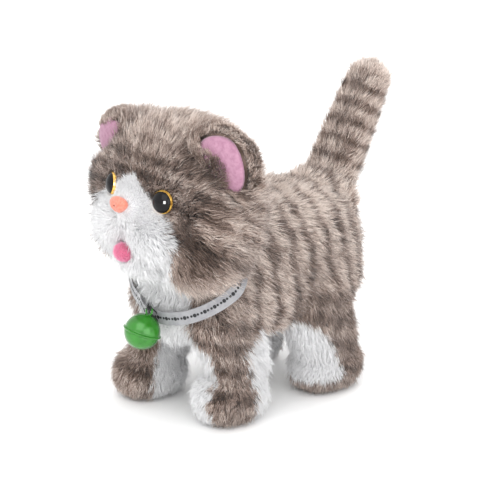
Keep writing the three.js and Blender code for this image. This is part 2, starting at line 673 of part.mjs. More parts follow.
function addPower() {
  add('battery_tray', 'chassis', batteryTray());
  add('battery_cell_left', 'cell', batteryCell(cell.x, true));
  add('battery_cell_right', 'cell', batteryCell(-cell.x, false));
  add('contact_plate', 'tinned', contactPlate());
  add('contact_spring_left', 'tinned', contactSpring(cell.x));
  add('contact_spring_right', 'tinned', contactSpring(-cell.x));
  add('battery_cover', 'chassis', batteryCover());
  add('battery_cover_screw', 'steel', coverScrew());
  add('switch_housing', 'knob', switchHousing());
  add('switch_knob', 'knob', switchKnob());
  add('circuit_board', 'board', box([-15, 15], [2, 34], [87, 88.5]));
  const cone = rodZ(speaker.radius, speaker.low, speaker.low + 1.5, [0, speaker.y], 24);
  const magnet = rodZ(6, speaker.low + 1, speaker.high, [0, speaker.y], 16);
  add('speaker', 'speaker', join(cone, magnet));
}

function addGearTrain() {
  const { second, first, pinion } = gearCentres();
  const x = { crank: [2.2, 5.2], second: [6.2, 9.2], first: [10.4, 13.2] };
  const outline = outlineOf([[-6, 60], [18, 60], [21, 66], [21, 86], [4, 86], [-6, 74]]);
  add('gearbox_plate', 'chassis', cut(plateX(outline, -0.9, 0.9),
    rodX(axleR + gap, -3, 3, shaft, 14),
    rodX(1 + gap, -3, 3, second, 12),
    rodX(1 + gap, -3, 3, first, 12),
    motorBody(gap)));
  add('gear_axle_1', 'steel', rodX(1, -1.2, 17.4, first, 12));
  add('gear_axle_2', 'steel', rodX(1, -1.2, 17.4, second, 12));
  const [toSecond, toFirst, toPinion] = trainAngles;
  const crankPhase = toSecond * rad + Math.PI / wheelTeeth;
  add('crank_gear', 'gear', toothed(wheelTeeth, crankPhase, x.crank, shaft, axleR + gap));
  add('compound_gear_2', 'gear', compoundGear(second, x.second, [1.8, 6.5], toFirst, toSecond + 180));
  add('compound_gear_1', 'gear', compoundGear(first, x.first, [5.8, 10.6], toPinion, toFirst + 180));
  add('motor_pinion', 'gear', toothed(pinionTeeth, (toPinion + 180) * rad, [10, 13.6], pinion, 0.8 + gap));
  add('motor', 'motor', motorWithShaft());
  add('crank_shaft', 'steel', rodX(axleR, -20.3, 20.3, shaft, 14));
  add('crank_wheel_left', 'gear', crankWheel(1));
  add('crank_wheel_right', 'gear', crankWheel(-1));
}

function addLegs() {
  Object.entries(hipY).forEach(([name, y]) => {
    add(`${name}_leg_axle`, 'steel', rodX(axleR, -29, 29, [y, hipHeight], 14));
    add(`${name}_left_leg_frame`, 'frame', legFrame(1).translate(0, y, hipHeight));
    add(`${name}_left_leg_plush`, 'fur', legPlush(1).translate(0, y, hipHeight));
    add(`${name}_right_leg_frame`, 'frame', mirrored(legFrame(-1)).translate(0, y, hipHeight));
    add(`${name}_right_leg_plush`, 'fur', mirrored(legPlush(-1)).translate(0, y, hipHeight));
  });
  const left = linkRod();
  add('link_rod_left', 'frame', left);
  const rightShift = 2 * lever * Math.sin(lean);
  add('link_rod_right', 'frame', mirrored(left).translate(0, rightShift, 0));
}

function addHead() {
  add('skull_shell', 'chassis', skullShell());
  add('neck_pin', 'steel', rodX(axleR, -11, 11, neckPivot, 14));
  add('head_plush', 'fur', headPlush());
  add('eye_left', 'eye', eyePiece(1));
  add('eye_right', 'eye', eyePiece(-1));
  add('nose', 'nose', nosePad());
  add('tongue', 'tongue', tonguePad());
  add('inner_ear_left', 'felt', innerEar(1));
  add('inner_ear_right', 'felt', innerEar(-1));
}

function addTail() {
  const pinEnd = tailHub[0] + 4;
  add('tail_pin', 'steel', rodY(1.5, 42.5, pinEnd, [0, tailHub[1]], 14));
  add('tail_arm', 'frame', cut(tailArm(), rodY(1.5 + gap, 40, 60, [0, tailHub[1]], 14)));
  add('tail_plush', 'fur', cut(tailSkin(0, 20), tailArm(gap)));
}

function addCollar() {
  add('collar_ribbon', 'ribbon', ribbonBand(0));
  add('bell_thread', 'thread', bellThread());
  add('bell_shell', 'bell', bellShell());
  const [x, y, z] = bell.centre;
  const clapperR = 2.5;
  const drop = bell.radius - bell.wall - clapperR - gap;
  add('bell_clapper', 'steel', new THREE.SphereGeometry(clapperR, 12, 8).translate(x, y, z - drop));
}

addChassis();
addPower();
addGearTrain();
addLegs();
addHead();
addTail();
add('body_plush', 'fur', bodyPlush());
addCollar();

export default kitten;
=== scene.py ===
"""The walking plush kitten: long-pile tabby fur over soft skins, a felt, ribbon and bell trim,
and the plastic mechanism underneath. Lengths in this file are millimetres until a mesh is made."""

import json
import math

import bmesh
import bpy
import numpy as np
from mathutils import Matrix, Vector
from mathutils.kdtree import KDTree


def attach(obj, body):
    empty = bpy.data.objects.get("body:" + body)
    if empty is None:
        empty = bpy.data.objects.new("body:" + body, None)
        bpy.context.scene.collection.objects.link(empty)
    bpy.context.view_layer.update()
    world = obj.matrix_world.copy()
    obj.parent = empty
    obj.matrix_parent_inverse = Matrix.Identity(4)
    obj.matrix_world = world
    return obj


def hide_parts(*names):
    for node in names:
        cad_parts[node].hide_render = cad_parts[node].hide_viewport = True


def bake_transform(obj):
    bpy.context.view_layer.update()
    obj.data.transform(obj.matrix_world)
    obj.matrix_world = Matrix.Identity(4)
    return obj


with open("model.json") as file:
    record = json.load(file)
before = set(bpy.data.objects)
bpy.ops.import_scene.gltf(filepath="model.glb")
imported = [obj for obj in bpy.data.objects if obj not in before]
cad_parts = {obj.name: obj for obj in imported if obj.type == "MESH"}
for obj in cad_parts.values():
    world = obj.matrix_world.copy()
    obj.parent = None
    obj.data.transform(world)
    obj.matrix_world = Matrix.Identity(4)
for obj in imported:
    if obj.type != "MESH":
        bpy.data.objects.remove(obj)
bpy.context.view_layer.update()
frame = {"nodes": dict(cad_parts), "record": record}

MM = 0.001
FUR_SHARE = 1.0  # share of the strands that a draft plants

# ------------------------------------------------------------------ places and sizes
HEAD = {"centre": (0, -45, 107), "semi": (43.5, 30, 39.5)}
EYE = {"centre": (19.6, -70.0, 116.8), "radius": 5.6, "dome": 4.0, "aim": (0.35, -0.92, 0.15)}
NOSE = {"centre": (0, -81.6, 113.0), "semi": (6.2, 3.0, 3.8)}
TONGUE = {"centre": (0, -79.2, 89.4), "semi": (5.4, 4.9, 4.4)}
# By side: 1 is left. The right ear sits lower, and its fur hangs over more of the felt.
EARS = {
    1: {"centre": (38, -48.4, 134.6), "semi": (15.4, 7, 17), "splay": 28, "turn": 16,
        "felt": (14.4, 16.6)},
    -1: {"centre": (-41, -49, 131), "semi": (15, 8, 14), "splay": 30, "turn": 6,
         "felt": (13.6, 12.4)},
}
SIDES = ((1, "left"), (-1, "right"))
EAR_POWER = 2.7
FELT = {"proud": 0.8, "thick": 1.1, "flatness": 0.2}
HIP_Z = 52
HIP_Y = {"front": -40.5, "hind": 23}
STRIDE = 6
FOOT_X = 25
TAIL_BASE = (0, 50, 100)
TAIL_TIP = (0, 81.4, 158.8)
RIBBON = {
    "centre": (0, -35.2, 82.5),
    "semi": (43.9, 41.2),
    "tilt": 41.9,
    "width": 6.6,
    "thick": 0.36,
    "flare": 36,  # how far the strap's lower edge leans out, in degrees
}
# The strap shows between these angles round it, on the left and then on the right.
RIBBON_SHOWN = (-17, -97, -130, -171)
BELL = {"centre": (5.6, -74, 49.5), "radius": 8.75, "tilt": (-20, 6), "slot_turn": -39}
HATCH = {"half": 18.1, "front": -39.2, "rear": 40.5, "low": 20, "top": 39.4}
# The light that glints in the eyes is the last one.
LIGHTS = (
    {"name": "key", "energy": 4.2, "size": 0.9, "azimuth": 32, "elevation": 48, "distance": 1.1},
    {"name": "fill", "energy": 4.8, "size": 0.9, "azimuth": 82, "elevation": 12, "distance": 1.2},
    {"name": "back", "energy": 3.5, "size": 0.9, "azimuth": 205, "elevation": 55, "distance": 1.2},
    {"name": "catch", "energy": 14.0, "size": 0.26, "azimuth": 33, "elevation": 9, "distance": 0.8},
)
CAMERA = {
    "azimuth": 50.84,
    "elevation": 18.57,
    "distance": 0.75,
    "target": (-0.0045, -0.0055, 0.0784),
    "lens": 111.55,
}

# ------------------------------------------------------------------ small maths


def unit(v):
    return v / np.maximum(np.linalg.norm(v, axis=-1, keepdims=True), 1e-9)


def mirrored(place, side):
    """A place or direction given for the left side, on either side."""
    return np.array(place, float) * (side, 1, 1)


def ramp(x, low, high):
    """0 below low, 1 above high, smooth between."""
    t = np.clip((x - low) / (high - low), 0, 1)
    return t * t * (3 - 2 * t)


def wobble(points, size, seed):
    """Smooth noise of about -1 to 1 whose lumps are about size apart."""
    r = np.random.default_rng(seed)
    waves = 7
    k = unit(r.normal(size=(waves, 3))) * (2 * math.pi / size) * r.uniform(0.6, 1.5, (waves, 1))
    return np.sin(points @ k.T + r.uniform(0, 2 * math.pi, waves)).mean(1) * 1.7


def turn_x(degrees):
    c, s = math.cos(math.radians(degrees)), math.sin(math.radians(degrees))
    return np.array([[1, 0, 0], [0, c, -s], [0, s, c]])


def turn_y(degrees):
    c, s = math.cos(math.radians(degrees)), math.sin(math.radians(degrees))
    return np.array([[c, 0, s], [0, 1, 0], [-s, 0, c]])


def turn_z(degrees):
    c, s = math.cos(math.radians(degrees)), math.sin(math.radians(degrees))
    return np.array([[c, -s, 0], [s, c, 0], [0, 0, 1]])


def direction(azimuth, elevation):
    """Towards an azimuth from the front, turning to the left side, and an elevation."""
    a, e = math.radians(azimuth), math.radians(elevation)
    return Vector((math.sin(a) * math.cos(e), -math.cos(a) * math.cos(e), math.sin(e)))


def srgb(r, g, b):
    """8-bit sRGB to linear."""
    return tuple(
        c / 12.92 if c <= 0.04045 else ((c + 0.055) / 1.055) ** 2.4
        for c in (r / 255, g / 255, b / 255)
    )


TAIL_AXIS = unit(np.array(TAIL_TIP, float) - np.array(TAIL_BASE, float))
RIBBON_OUT = turn_x(RIBBON["tilt"]) @ (0, 1, 0)  # across the ring of the strap, towards the rear
RIBBON_UP = turn_x(RIBBON["tilt"]) @ (0, 0, 1)

# ------------------------------------------------------------------ materials


def new_material(name, color, roughness, metallic=0.0, **sockets):
    mat = bpy.data.materials.new(name)
    mat.use_nodes = True
    shader = mat.node_tree.nodes["Principled BSDF"]
    shader.inputs["Base Color"].default_value = (*color, 1)
    shader.inputs["Roughness"].default_value = roughness
    shader.inputs["Metallic"].default_value = metallic
    for socket, value in sockets.items():
        shader.inputs[socket.replace("_", " ")].default_value = value
    return mat


def node(mat, kind, **settings):
    made = mat.node_tree.nodes.new(kind)
    for key, value in settings.items():
        if key in made.inputs:
            made.inputs[key].default_value = value
        else:
            setattr(made, key, value)
    return made


def link(mat, a, b):
    mat.node_tree.links.new(a, b)


def shader_input(mat, socket):
    return mat.node_tree.nodes["Principled BSDF"].inputs[socket]


def mottled(mat, light, dark, scale, detail=4.0):
    """Mixes two colours by noise into the base colour."""
    where = node(mat, "ShaderNodeTexCoord")
    noise = node(mat, "ShaderNodeTexNoise", Scale=scale, Detail=detail, Roughness=0.6)
    mix = node(mat, "ShaderNodeValToRGB")
    for stop, place, color in zip(mix.color_ramp.elements, (0.35, 0.65), (dark, light)):
        stop.position = place
        stop.color = (*color, 1)
    link(mat, where.outputs["Object"], noise.inputs["Vector"])
    link(mat, noise.outputs["Fac"], mix.inputs["Fac"])
    link(mat, mix.outputs["Color"], shader_input(mat, "Base Color"))


def bumpy(mat, scale, strength, distance=0.0003, detail=3.0):
    where = node(mat, "ShaderNodeTexCoord")
    noise = node(mat, "ShaderNodeTexNoise", Scale=scale, Detail=detail)
    bump = node(mat, "ShaderNodeBump", Strength=strength, Distance=distance)
    link(mat, where.outputs["Object"], noise.inputs["Vector"])
    link(mat, noise.outputs["Fac"], bump.inputs["Height"])
    link(mat, bump.outputs["Normal"], shader_input(mat, "Normal"))


def blend_colors(stops, t):
    """The colour at t along (place, sRGB) stops, as linear RGB."""
    places = [s[0] for s in stops]
    return srgb(*[float(np.interp(t, places, [s[1][k] for s in stops])) for k in range(3)])


BROWN_STOPS = [
    (0.0, (48, 36, 30)),
    (0.25, (90, 72, 62)),
    (0.5, (142, 121, 110)),
    (0.75, (194, 174, 163)),
    (1.0, (240, 226, 216)),
]
WHITE_STOPS = [(0.0, (240, 240, 242)), (0.5, (247, 247, 248)), (1.0, (252, 252, 253))]
GUARD = {"share": 0.12, "longer": 0.4, "lift": 10}  # a few longer hairs stand out of the pile
BROWNS = 11
WHITES = 4
PINK_STOPS = [(0.0, (244, 104, 156)), (1.0, (255, 176, 206))]


def strand_materials():
    """Flat materials from dark to light brown, then the whites."""
    mats = []
    for word, stops, count in (("brown", BROWN_STOPS, BROWNS), ("white", WHITE_STOPS, WHITES)):
        for k in range(count):
            color = blend_colors(stops, k / (count - 1))
            mats.append(new_material(f"pile_{word}_{k}", color, 0.72, Specular_IOR_Level=0.25,
                                     Sheen_Weight=0.25, Sheen_Roughness=0.5))
    return mats


PILE = strand_materials()
PINK_PILE = [
    new_material(f"pile_pink_{k}", blend_colors(PINK_STOPS, k / 2), 0.6, Sheen_Weight=0.4)
    for k in range(3)
]


def skin_material():
    """Backing cloth with short undercoat: the painted pile colour, which carries painted shade
    between the strands, broken up by fine noise.
    """
    mat = new_material("pile_backing", srgb(150, 130, 120), 0.95, Sheen_Weight=0.3)
    shade = node(mat, "ShaderNodeAttribute", attribute_name="Pile")
    where = node(mat, "ShaderNodeTexCoord")
    noise = node(mat, "ShaderNodeTexNoise", Scale=900.0, Detail=5.0)
    mix = node(mat, "ShaderNodeMix", data_type="RGBA", blend_type="MULTIPLY")
    mix.inputs["Factor"].default_value = 0.4
    link(mat, where.outputs["Object"], noise.inputs["Vector"])
    link(mat, shade.outputs["Color"], mix.inputs["A"])
    link(mat, noise.outputs["Fac"], mix.inputs["B"])
    link(mat, mix.outputs["Result"], shader_input(mat, "Base Color"))
    bumpy(mat, 1200.0, 0.6)
    return mat


BACKING = skin_material()

# ------------------------------------------------------------------ meshes


def link_object(name, mesh):
    obj = bpy.data.objects.new(name, mesh)
    bpy.context.scene.collection.objects.link(obj)
    return obj


def mesh_object(name, verts, faces, materials, face_materials=None, smooth=True):
    mesh = bpy.data.meshes.new(name)
    mesh.from_pydata((np.asarray(verts, float) * MM).tolist(), [], [list(f) for f in faces])
    for mat in materials:
        mesh.materials.append(mat)
    if face_materials is not None:
        mesh.polygons.foreach_set("material_index", np.asarray(face_materials, np.int32))
    mesh.polygons.foreach_set("use_smooth", np.full(len(mesh.polygons), smooth))
    mesh.update()
    return link_object(name, mesh)


def face_outward(obj, weld=False):
    bm = bmesh.new()
    bm.from_mesh(obj.data)
    if weld:
        bmesh.ops.remove_doubles(bm, verts=bm.verts, dist=1e-6)
    bmesh.ops.recalc_face_normals(bm, faces=bm.faces)
    bm.to_mesh(obj.data)
    bm.free()


def ball_mesh():
    bm = bmesh.new()
    bmesh.ops.create_icosphere(bm, subdivisions=5, radius=1)
    verts = np.array([v.co for v in bm.verts])
    faces = [[v.index for v in f.verts] for f in bm.faces]
    bm.free()
    return verts, faces


BALL = ball_mesh()


def lump(centre, semi, power=2.0, spin=None):
    """A rounded lump: an ellipsoid at power 2, boxier above."""
    verts, faces = BALL
    semi = np.array(semi, float)
    reach = (np.abs(verts / semi) ** power).sum(1) ** (-1 / power)
    out = verts * reach[:, None]
    if spin is not None:
        out = out @ spin.T
    return out + np.array(centre, float), faces


def baked(obj):
    """Applies the object's modifiers."""
    dg = bpy.context.evaluated_depsgraph_get()
    dg.update()
    mesh = bpy.data.meshes.new_from_object(obj.evaluated_get(dg))
    obj.modifiers.clear()
    obj.data = mesh
    return obj


def union(name, lumps, voxel, rounds, hatch=None):
    """One closed skin around overlapping lumps."""
    verts, faces = [], []
    base = 0
    for v, f in lumps:
        verts.append(v)
        faces += [[i + base for i in face] for face in f]
        base += len(v)
    obj = mesh_object(name, np.concatenate(verts), faces, [BACKING])
    remesh = obj.modifiers.new("join", "REMESH")
    remesh.mode = "VOXEL"
    remesh.voxel_size = voxel * MM
    soften = obj.modifiers.new("soften", "SMOOTH")
    soften.factor = 0.5
    soften.iterations = rounds
    if hatch is not None:
        cut = obj.modifiers.new("hatch", "BOOLEAN")
        cut.operation = "DIFFERENCE"
        cut.object = hatch
        cut.solver = "EXACT"
    baked(obj)
    obj.data.materials.clear()
    obj.data.materials.append(BACKING)
    obj.data.polygons.foreach_set("material_index", np.zeros(len(obj.data.polygons), np.int32))
    obj.data.polygons.foreach_set("use_smooth", np.ones(len(obj.data.polygons), bool))
    return obj


def coordinates(obj):
    co = np.empty(len(obj.data.vertices) * 3)
    obj.data.vertices.foreach_get("co", co)
    return co.reshape(-1, 3) / MM


def move_points(obj, co):
    obj.data.vertices.foreach_set("co", (co * MM).ravel())


def paint(obj, color_of):
    """Stores the pile colour of each point of a skin."""
    rgb = color_of(coordinates(obj))
    layer = obj.data.color_attributes.new(name="Pile", type="FLOAT_COLOR", domain="POINT")
    layer.data.foreach_set("color", np.c_[rgb, np.ones(len(rgb))].astype(np.float32).ravel())


# ------------------------------------------------------------------ the coat's pattern
# Each function gives, for points in millimetres, (tone, white): tone 0 is a dark stripe and 1 the
# lightest brown, white is the share of white.


def bands(q, centres, halves, strengths):
    total = np.zeros(len(q))
    for c, h, s in zip(centres, halves, strengths):
        total += s * np.exp(-(((q - c) / h) ** 2))
    return np.clip(total, 0, 1)


# Marks on each side of the head: where, how wide, and how dark (below 0 is paler).
HEAD_MARKS = (
    ((42, -66, 93), 9, 0.7),
    ((39, -69, 84), 8, 0.5),
    ((40, -70, 103), 6, 0.3),
    ((38, -72, 111), 5, 0.5),
    ((43, -67, 120), 6, 0.5),
    ((49, -60, 116), 6, 0.35),
    ((15, -69, 135), 5, 0.5),
    ((28, -61, 136), 6, 0.5),
    ((41, -57, 134), 6, 0.55),
    ((25, -51, 144), 6, 0.6),
    ((10, -74, 126), 5, 0.45),
    ((9, -62, 143), 8, -0.25),
    ((13, -56, 148), 8, -0.25),
    ((48, -49, 107), 10, -0.35),
    ((39, -57, 134), 6, 0.25),
    ((40, -61, 128), 3.5, -0.25),
)


# Half the width of the white face at each height, on the left. The right half is wider.
WHITE_FACE = (
    (65, 21), (75, 22), (83, 26), (91, 30), (99, 31),
    (108, 26), (113, 20), (119, 11), (125, 4), (129, -5),
)


def eye_distance(p):
    return np.minimum(*(
        np.linalg.norm(p - mirrored(EYE["centre"], side), axis=1) for side, _ in SIDES
    ))


def head_coat(p):
    x, y, z = p.T
    rough = wobble(p, 9, 3)
    q = z + 0.6 * (y + 68) + 1.6 * rough
    stripe = bands(
        q,
        centres=(100.4, 115.9, 124.9, 134.4, 144.4, 154.4),
        halves=(6.0, 2.9, 2.6, 2.8, 2.8, 2.8),
        strengths=(1.0, 1.0, 0.9, 0.85, 0.7, 0.6),
    )
    tone = 0.64 + 0.06 * wobble(p, 18, 8) - 0.34 * stripe
    folded = np.stack([np.abs(x) + 1.5 * rough, y, z + 1.5 * wobble(p, 8, 6)], 1)
    for place, size, dark in HEAD_MARKS:
        away = np.linalg.norm(folded - np.array(place, float), axis=1)
        tone = tone - 0.62 * dark * np.exp(-((away / size) ** 2))
    tone -= 0.3 * (1 - ramp(eye_distance(p), 5.5, 10))
    edge = np.interp(z, *zip(*WHITE_FACE)) * np.where(x < 0, 1.34, 1.0)
    white = ramp(edge + 1.3 * wobble(p, 5, 12) - np.abs(x), -1.6, 1.6)
    white *= 1 - ramp(y, -58, -50)
    return tone, white


def torso_coat(p):
    x, y, z = p.T
    q = y + 0.12 * (z - 70) + 2.2 * wobble(p, 16, 21)
    wave = 0.5 + 0.5 * np.cos(2 * math.pi * (q + 1.5) / 11.6)
    stripe = ramp(wave, 0.42, 0.95) * (0.85 + 0.25 * wobble(p, 15, 22))
    # The tone rises towards the top of the back: painted light falling from above.
    tone = 0.69 + 0.2 * ramp(z, 80, 100) + 0.06 * wobble(p, 20, 23) - 0.48 * stripe
    chest = ramp(21.5 + 1.5 * wobble(p, 6, 25) - np.abs(x), -1.8, 1.8) * (1 - ramp(y, -46, -40))
    belly = (1 - ramp(z, 38, 44)) * ramp(24 - np.abs(x), -2, 2)
    return tone, np.maximum(chest, belly)


def along_tail(p):
    return (p - np.array(TAIL_BASE, float)) @ TAIL_AXIS


def tail_coat(p):
    t = along_tail(p) + 1.0 * wobble(p, 10, 31)
    wave = 0.5 + 0.5 * np.cos(2 * math.pi * (t - 3.5) / 9.6)
    stripe = ramp(wave, 0.4, 0.95) * (0.8 + 0.3 * wobble(p, 12, 32)) * (1 - ramp(t, 58, 62))
    tone = 0.68 + 0.14 * ramp(t, 52, 66) + 0.06 * wobble(p, 14, 33) - 0.46 * stripe
    return tone, np.zeros(len(p))


# The outward-facing part of each leg is brown. Angles are about a vertical line through the foot:
# 0 is outward, 90 forward and 180 inward.
LEG_BROWN = {
    "front_left": (-20, 72),
    "front_right": (-60, 150),
    "hind_left": (-120, 10),
    "hind_right": (-120, 10),
}


def leg_coat(name):
    end, side = name.split("_")
    sign = 1 if side == "left" else -1
    foot_y = HIP_Y[end] + sign * STRIDE - 1.5
    low, high = LEG_BROWN[name]

    def coat(p):
        x, y, z = p.T
        reach = ramp(z, 12, 44)
        centre_y = foot_y + (HIP_Y[end] - foot_y) * reach
        angle = np.degrees(np.arctan2(-(y - centre_y), sign * (x - sign * FOOT_X)))
        noise = 9 * wobble(p, 6, 41)
        rising = 1.7 * np.maximum(z - 20, 0) if end == "hind" else 0
        inside = np.minimum(angle - low, high + rising - angle) + noise
        widen = 60 * ramp(z, 37, 50)
        white = 1 - ramp(inside + widen, -7, 7)
        if name == "hind_left":
            white *= ramp(z, 6.5, 9.5)
        level = z + 0.25 * (y - centre_y) + 1.6 * wobble(p, 10, 42)
        stripe = bands(level, (14, 27, 40, 52), (3.2,) * 4, (0.9,) * 4)
        tone = (0.52 if end == "hind" else 0.56) - 0.3 * stripe + 0.08 * wobble(p, 12, 43)
        return tone, white

    return coat


def backing_color_and_gap_shade(coat):
    """The cloth under the strands: their colour, darker where it is brown. The darkening is partly
    the cloth's own darker brown and partly painted shade in the gaps between the strands.
    """
    places = [place for place, _ in BROWN_STOPS]
    browns = np.array([srgb(*color) for _, color in BROWN_STOPS])
    pale = np.array(srgb(244, 243, 246))

    def color_of(p):
        tone, white = coat(p)
        # Shifted darker: the cloth's own brown together with painted shade between the strands.
        t = np.clip(tone - 0.22, 0, 1)
        brown = np.stack([np.interp(t, places, browns[:, k]) for k in range(3)], 1)
        return brown * (1 - white[:, None]) + pale * white[:, None]

    return color_of


# ------------------------------------------------------------------ fur


def scatter(obj, density, seed):
    """Evenly strewn points on a skin, with smooth normals."""
    mesh = obj.data
    mesh.calc_loop_triangles()
    tris = np.empty(len(mesh.loop_triangles) * 3, np.int32)
    mesh.loop_triangles.foreach_get("vertices", tris)
    tris = tris.reshape(-1, 3)
    co = coordinates(obj)
    normals = np.empty(len(co) * 3)
    mesh.vertices.foreach_get("normal", normals)
    normals = normals.reshape(-1, 3)
    a, b, c = (co[tris[:, k]] for k in range(3))
    area = np.linalg.norm(np.cross(b - a, c - a), axis=1) / 2
    total = np.cumsum(area)
    count = int(total[-1] * density * FUR_SHARE)
    rng = np.random.default_rng(seed)
    places = (np.arange(count) + rng.random(count)) / count * total[-1]
    chosen = np.minimum(np.searchsorted(total, places), len(tris) - 1)
    u, v = rng.random(count), rng.random(count)
    flip = u + v > 1
    u[flip], v[flip] = 1 - u[flip], 1 - v[flip]
    w = np.stack([1 - u - v, u, v], 1)[:, :, None]
    p = (co[tris[chosen]] * w).sum(1)
    n = unit((normals[tris[chosen]] * w).sum(1))
    return p, n, rng


def nearest_leader(roots, leaders):
    tree = KDTree(len(leaders))
    for i, p in enumerate(leaders):
        tree.insert(p, i)
    tree.balance()
    return np.array([tree.find(p)[1] for p in roots], int)


STRAND_LOOPS = np.array([0, 2, 1, 0, 1, 4, 3, 1, 2, 5, 4, 2, 0, 3, 5, 3, 4, 6, 4, 5, 6, 5, 3, 6])
STRAND_STARTS = np.array([0, 3, 7, 11, 15, 18, 21])
MAX_STRANDS = 19000  # in one piece
STRAND_WIDTH = 0.26
SPREAD = 0.3  # of the strands' headings and lifts
CLUMP = 2.2  # about the radius of a tuft
FUR_FLOOR = 0.4  # the lowest that a strand reaches


def strand_mesh(name, roots, bends, tips, across, widths, shades, materials):
    """Tapered three-sided strands, each one closed body of two stretches."""
    count = len(roots)
    verts = np.empty((count, 7, 3))
    first = unit(bends - roots)
    second = unit(tips - bends)
    stations = ((roots, first, 1.0), (bends, unit(first + second), 0.8))
    for at, (centre, along, scale) in enumerate(stations):
        u = unit(across - along * (across * along).sum(1, keepdims=True))
        v = np.cross(along, u)
        for k in range(3):
            turn = 2 * math.pi * k / 3
            offset = (u * math.cos(turn) + v * math.sin(turn)) * (widths * scale)[:, None] / 2
            verts[:, at * 3 + k] = centre + offset
    verts[:, 6] = tips
    mesh = bpy.data.meshes.new(name)
    mesh.vertices.add(count * 7)
    mesh.loops.add(count * len(STRAND_LOOPS))
    mesh.polygons.add(count * 7)
    mesh.vertices.foreach_set("co", (verts * MM).astype(np.float32).ravel())
    step = np.arange(count)[:, None]
    mesh.loops.foreach_set("vertex_index", (STRAND_LOOPS + 7 * step).astype(np.int32).ravel())
    mesh.polygons.foreach_set(
        "loop_start", (STRAND_STARTS + len(STRAND_LOOPS) * step).astype(np.int32).ravel()
    )
    slots = np.repeat(shades, [4, 3], axis=1)
    for mat in materials:
        mesh.materials.append(mat)
    mesh.polygons.foreach_set("material_index", slots.astype(np.int32).ravel())
    mesh.polygons.foreach_set("use_smooth", np.ones(count * 7, bool))
    mesh.update(calc_edges=True)
    return link_object(name, mesh)


def ribbon_coordinates(p):
    d = p - np.array(RIBBON["centre"], float)
    return d[:, 0], d @ RIBBON_OUT, d @ RIBBON_UP


def under_ribbon(p):
    """Points under or through the ribbon's band are tucked in below it."""
    x, out, across = ribbon_coordinates(p)
    a, b = RIBBON["semi"]
    r = np.sqrt((x / a) ** 2 + (out / b) ** 2)
    margin = RIBBON["width"] / 2 + 0.3
    around = np.degrees(np.arctan2(out / b, x / a))
    shown = (around < RIBBON_SHOWN[0]) & (around > RIBBON_SHOWN[1])
    shown |= (around < RIBBON_SHOWN[2]) & (around > RIBBON_SHOWN[3])
    over = (np.abs(across) < margin) & (r > 0.97) & shown
    scale = np.where(over, 0.96 / np.maximum(r, 1e-6), 1.0)
    moved = p.copy()
    moved[:, 0] += x * (scale - 1)
    return moved + (out * (scale - 1))[:, None] * RIBBON_OUT


def outside_ellipsoid(p, centre, semi):
    return (((p - np.array(centre, float)) / np.array(semi, float)) ** 2).sum(1) > 1


def clear_of_face(*points):
    """True for strands that don't cross an eye, the nose or the tongue."""
    keep = np.ones(len(points[0]), bool)
    for p in points:
        for side, _ in SIDES:
            aim = unit(mirrored(EYE["aim"], side))
            d = p - mirrored(EYE["centre"], side)
            along = d @ aim
            radial = np.linalg.norm(d - along[:, None] * aim, axis=1)
            keep &= ~((radial < EYE["radius"] + 0.5) & (along > -1.5))
        keep &= outside_ellipsoid(p, NOSE["centre"], np.array(NOSE["semi"]) + 0.3)
        keep &= outside_ellipsoid(p, TONGUE["centre"], np.array(TONGUE["semi"]) + 0.2)
        keep &= ~(felt_shows(p, 1) | felt_shows(p, -1))
    return keep


def clear_of_bell(*points):
    keep = np.ones(len(points[0]), bool)
    for p in points:
        reach = BELL["radius"] + 1.2
        keep &= outside_ellipsoid(p, BELL["centre"], (reach, reach, reach))
    return keep


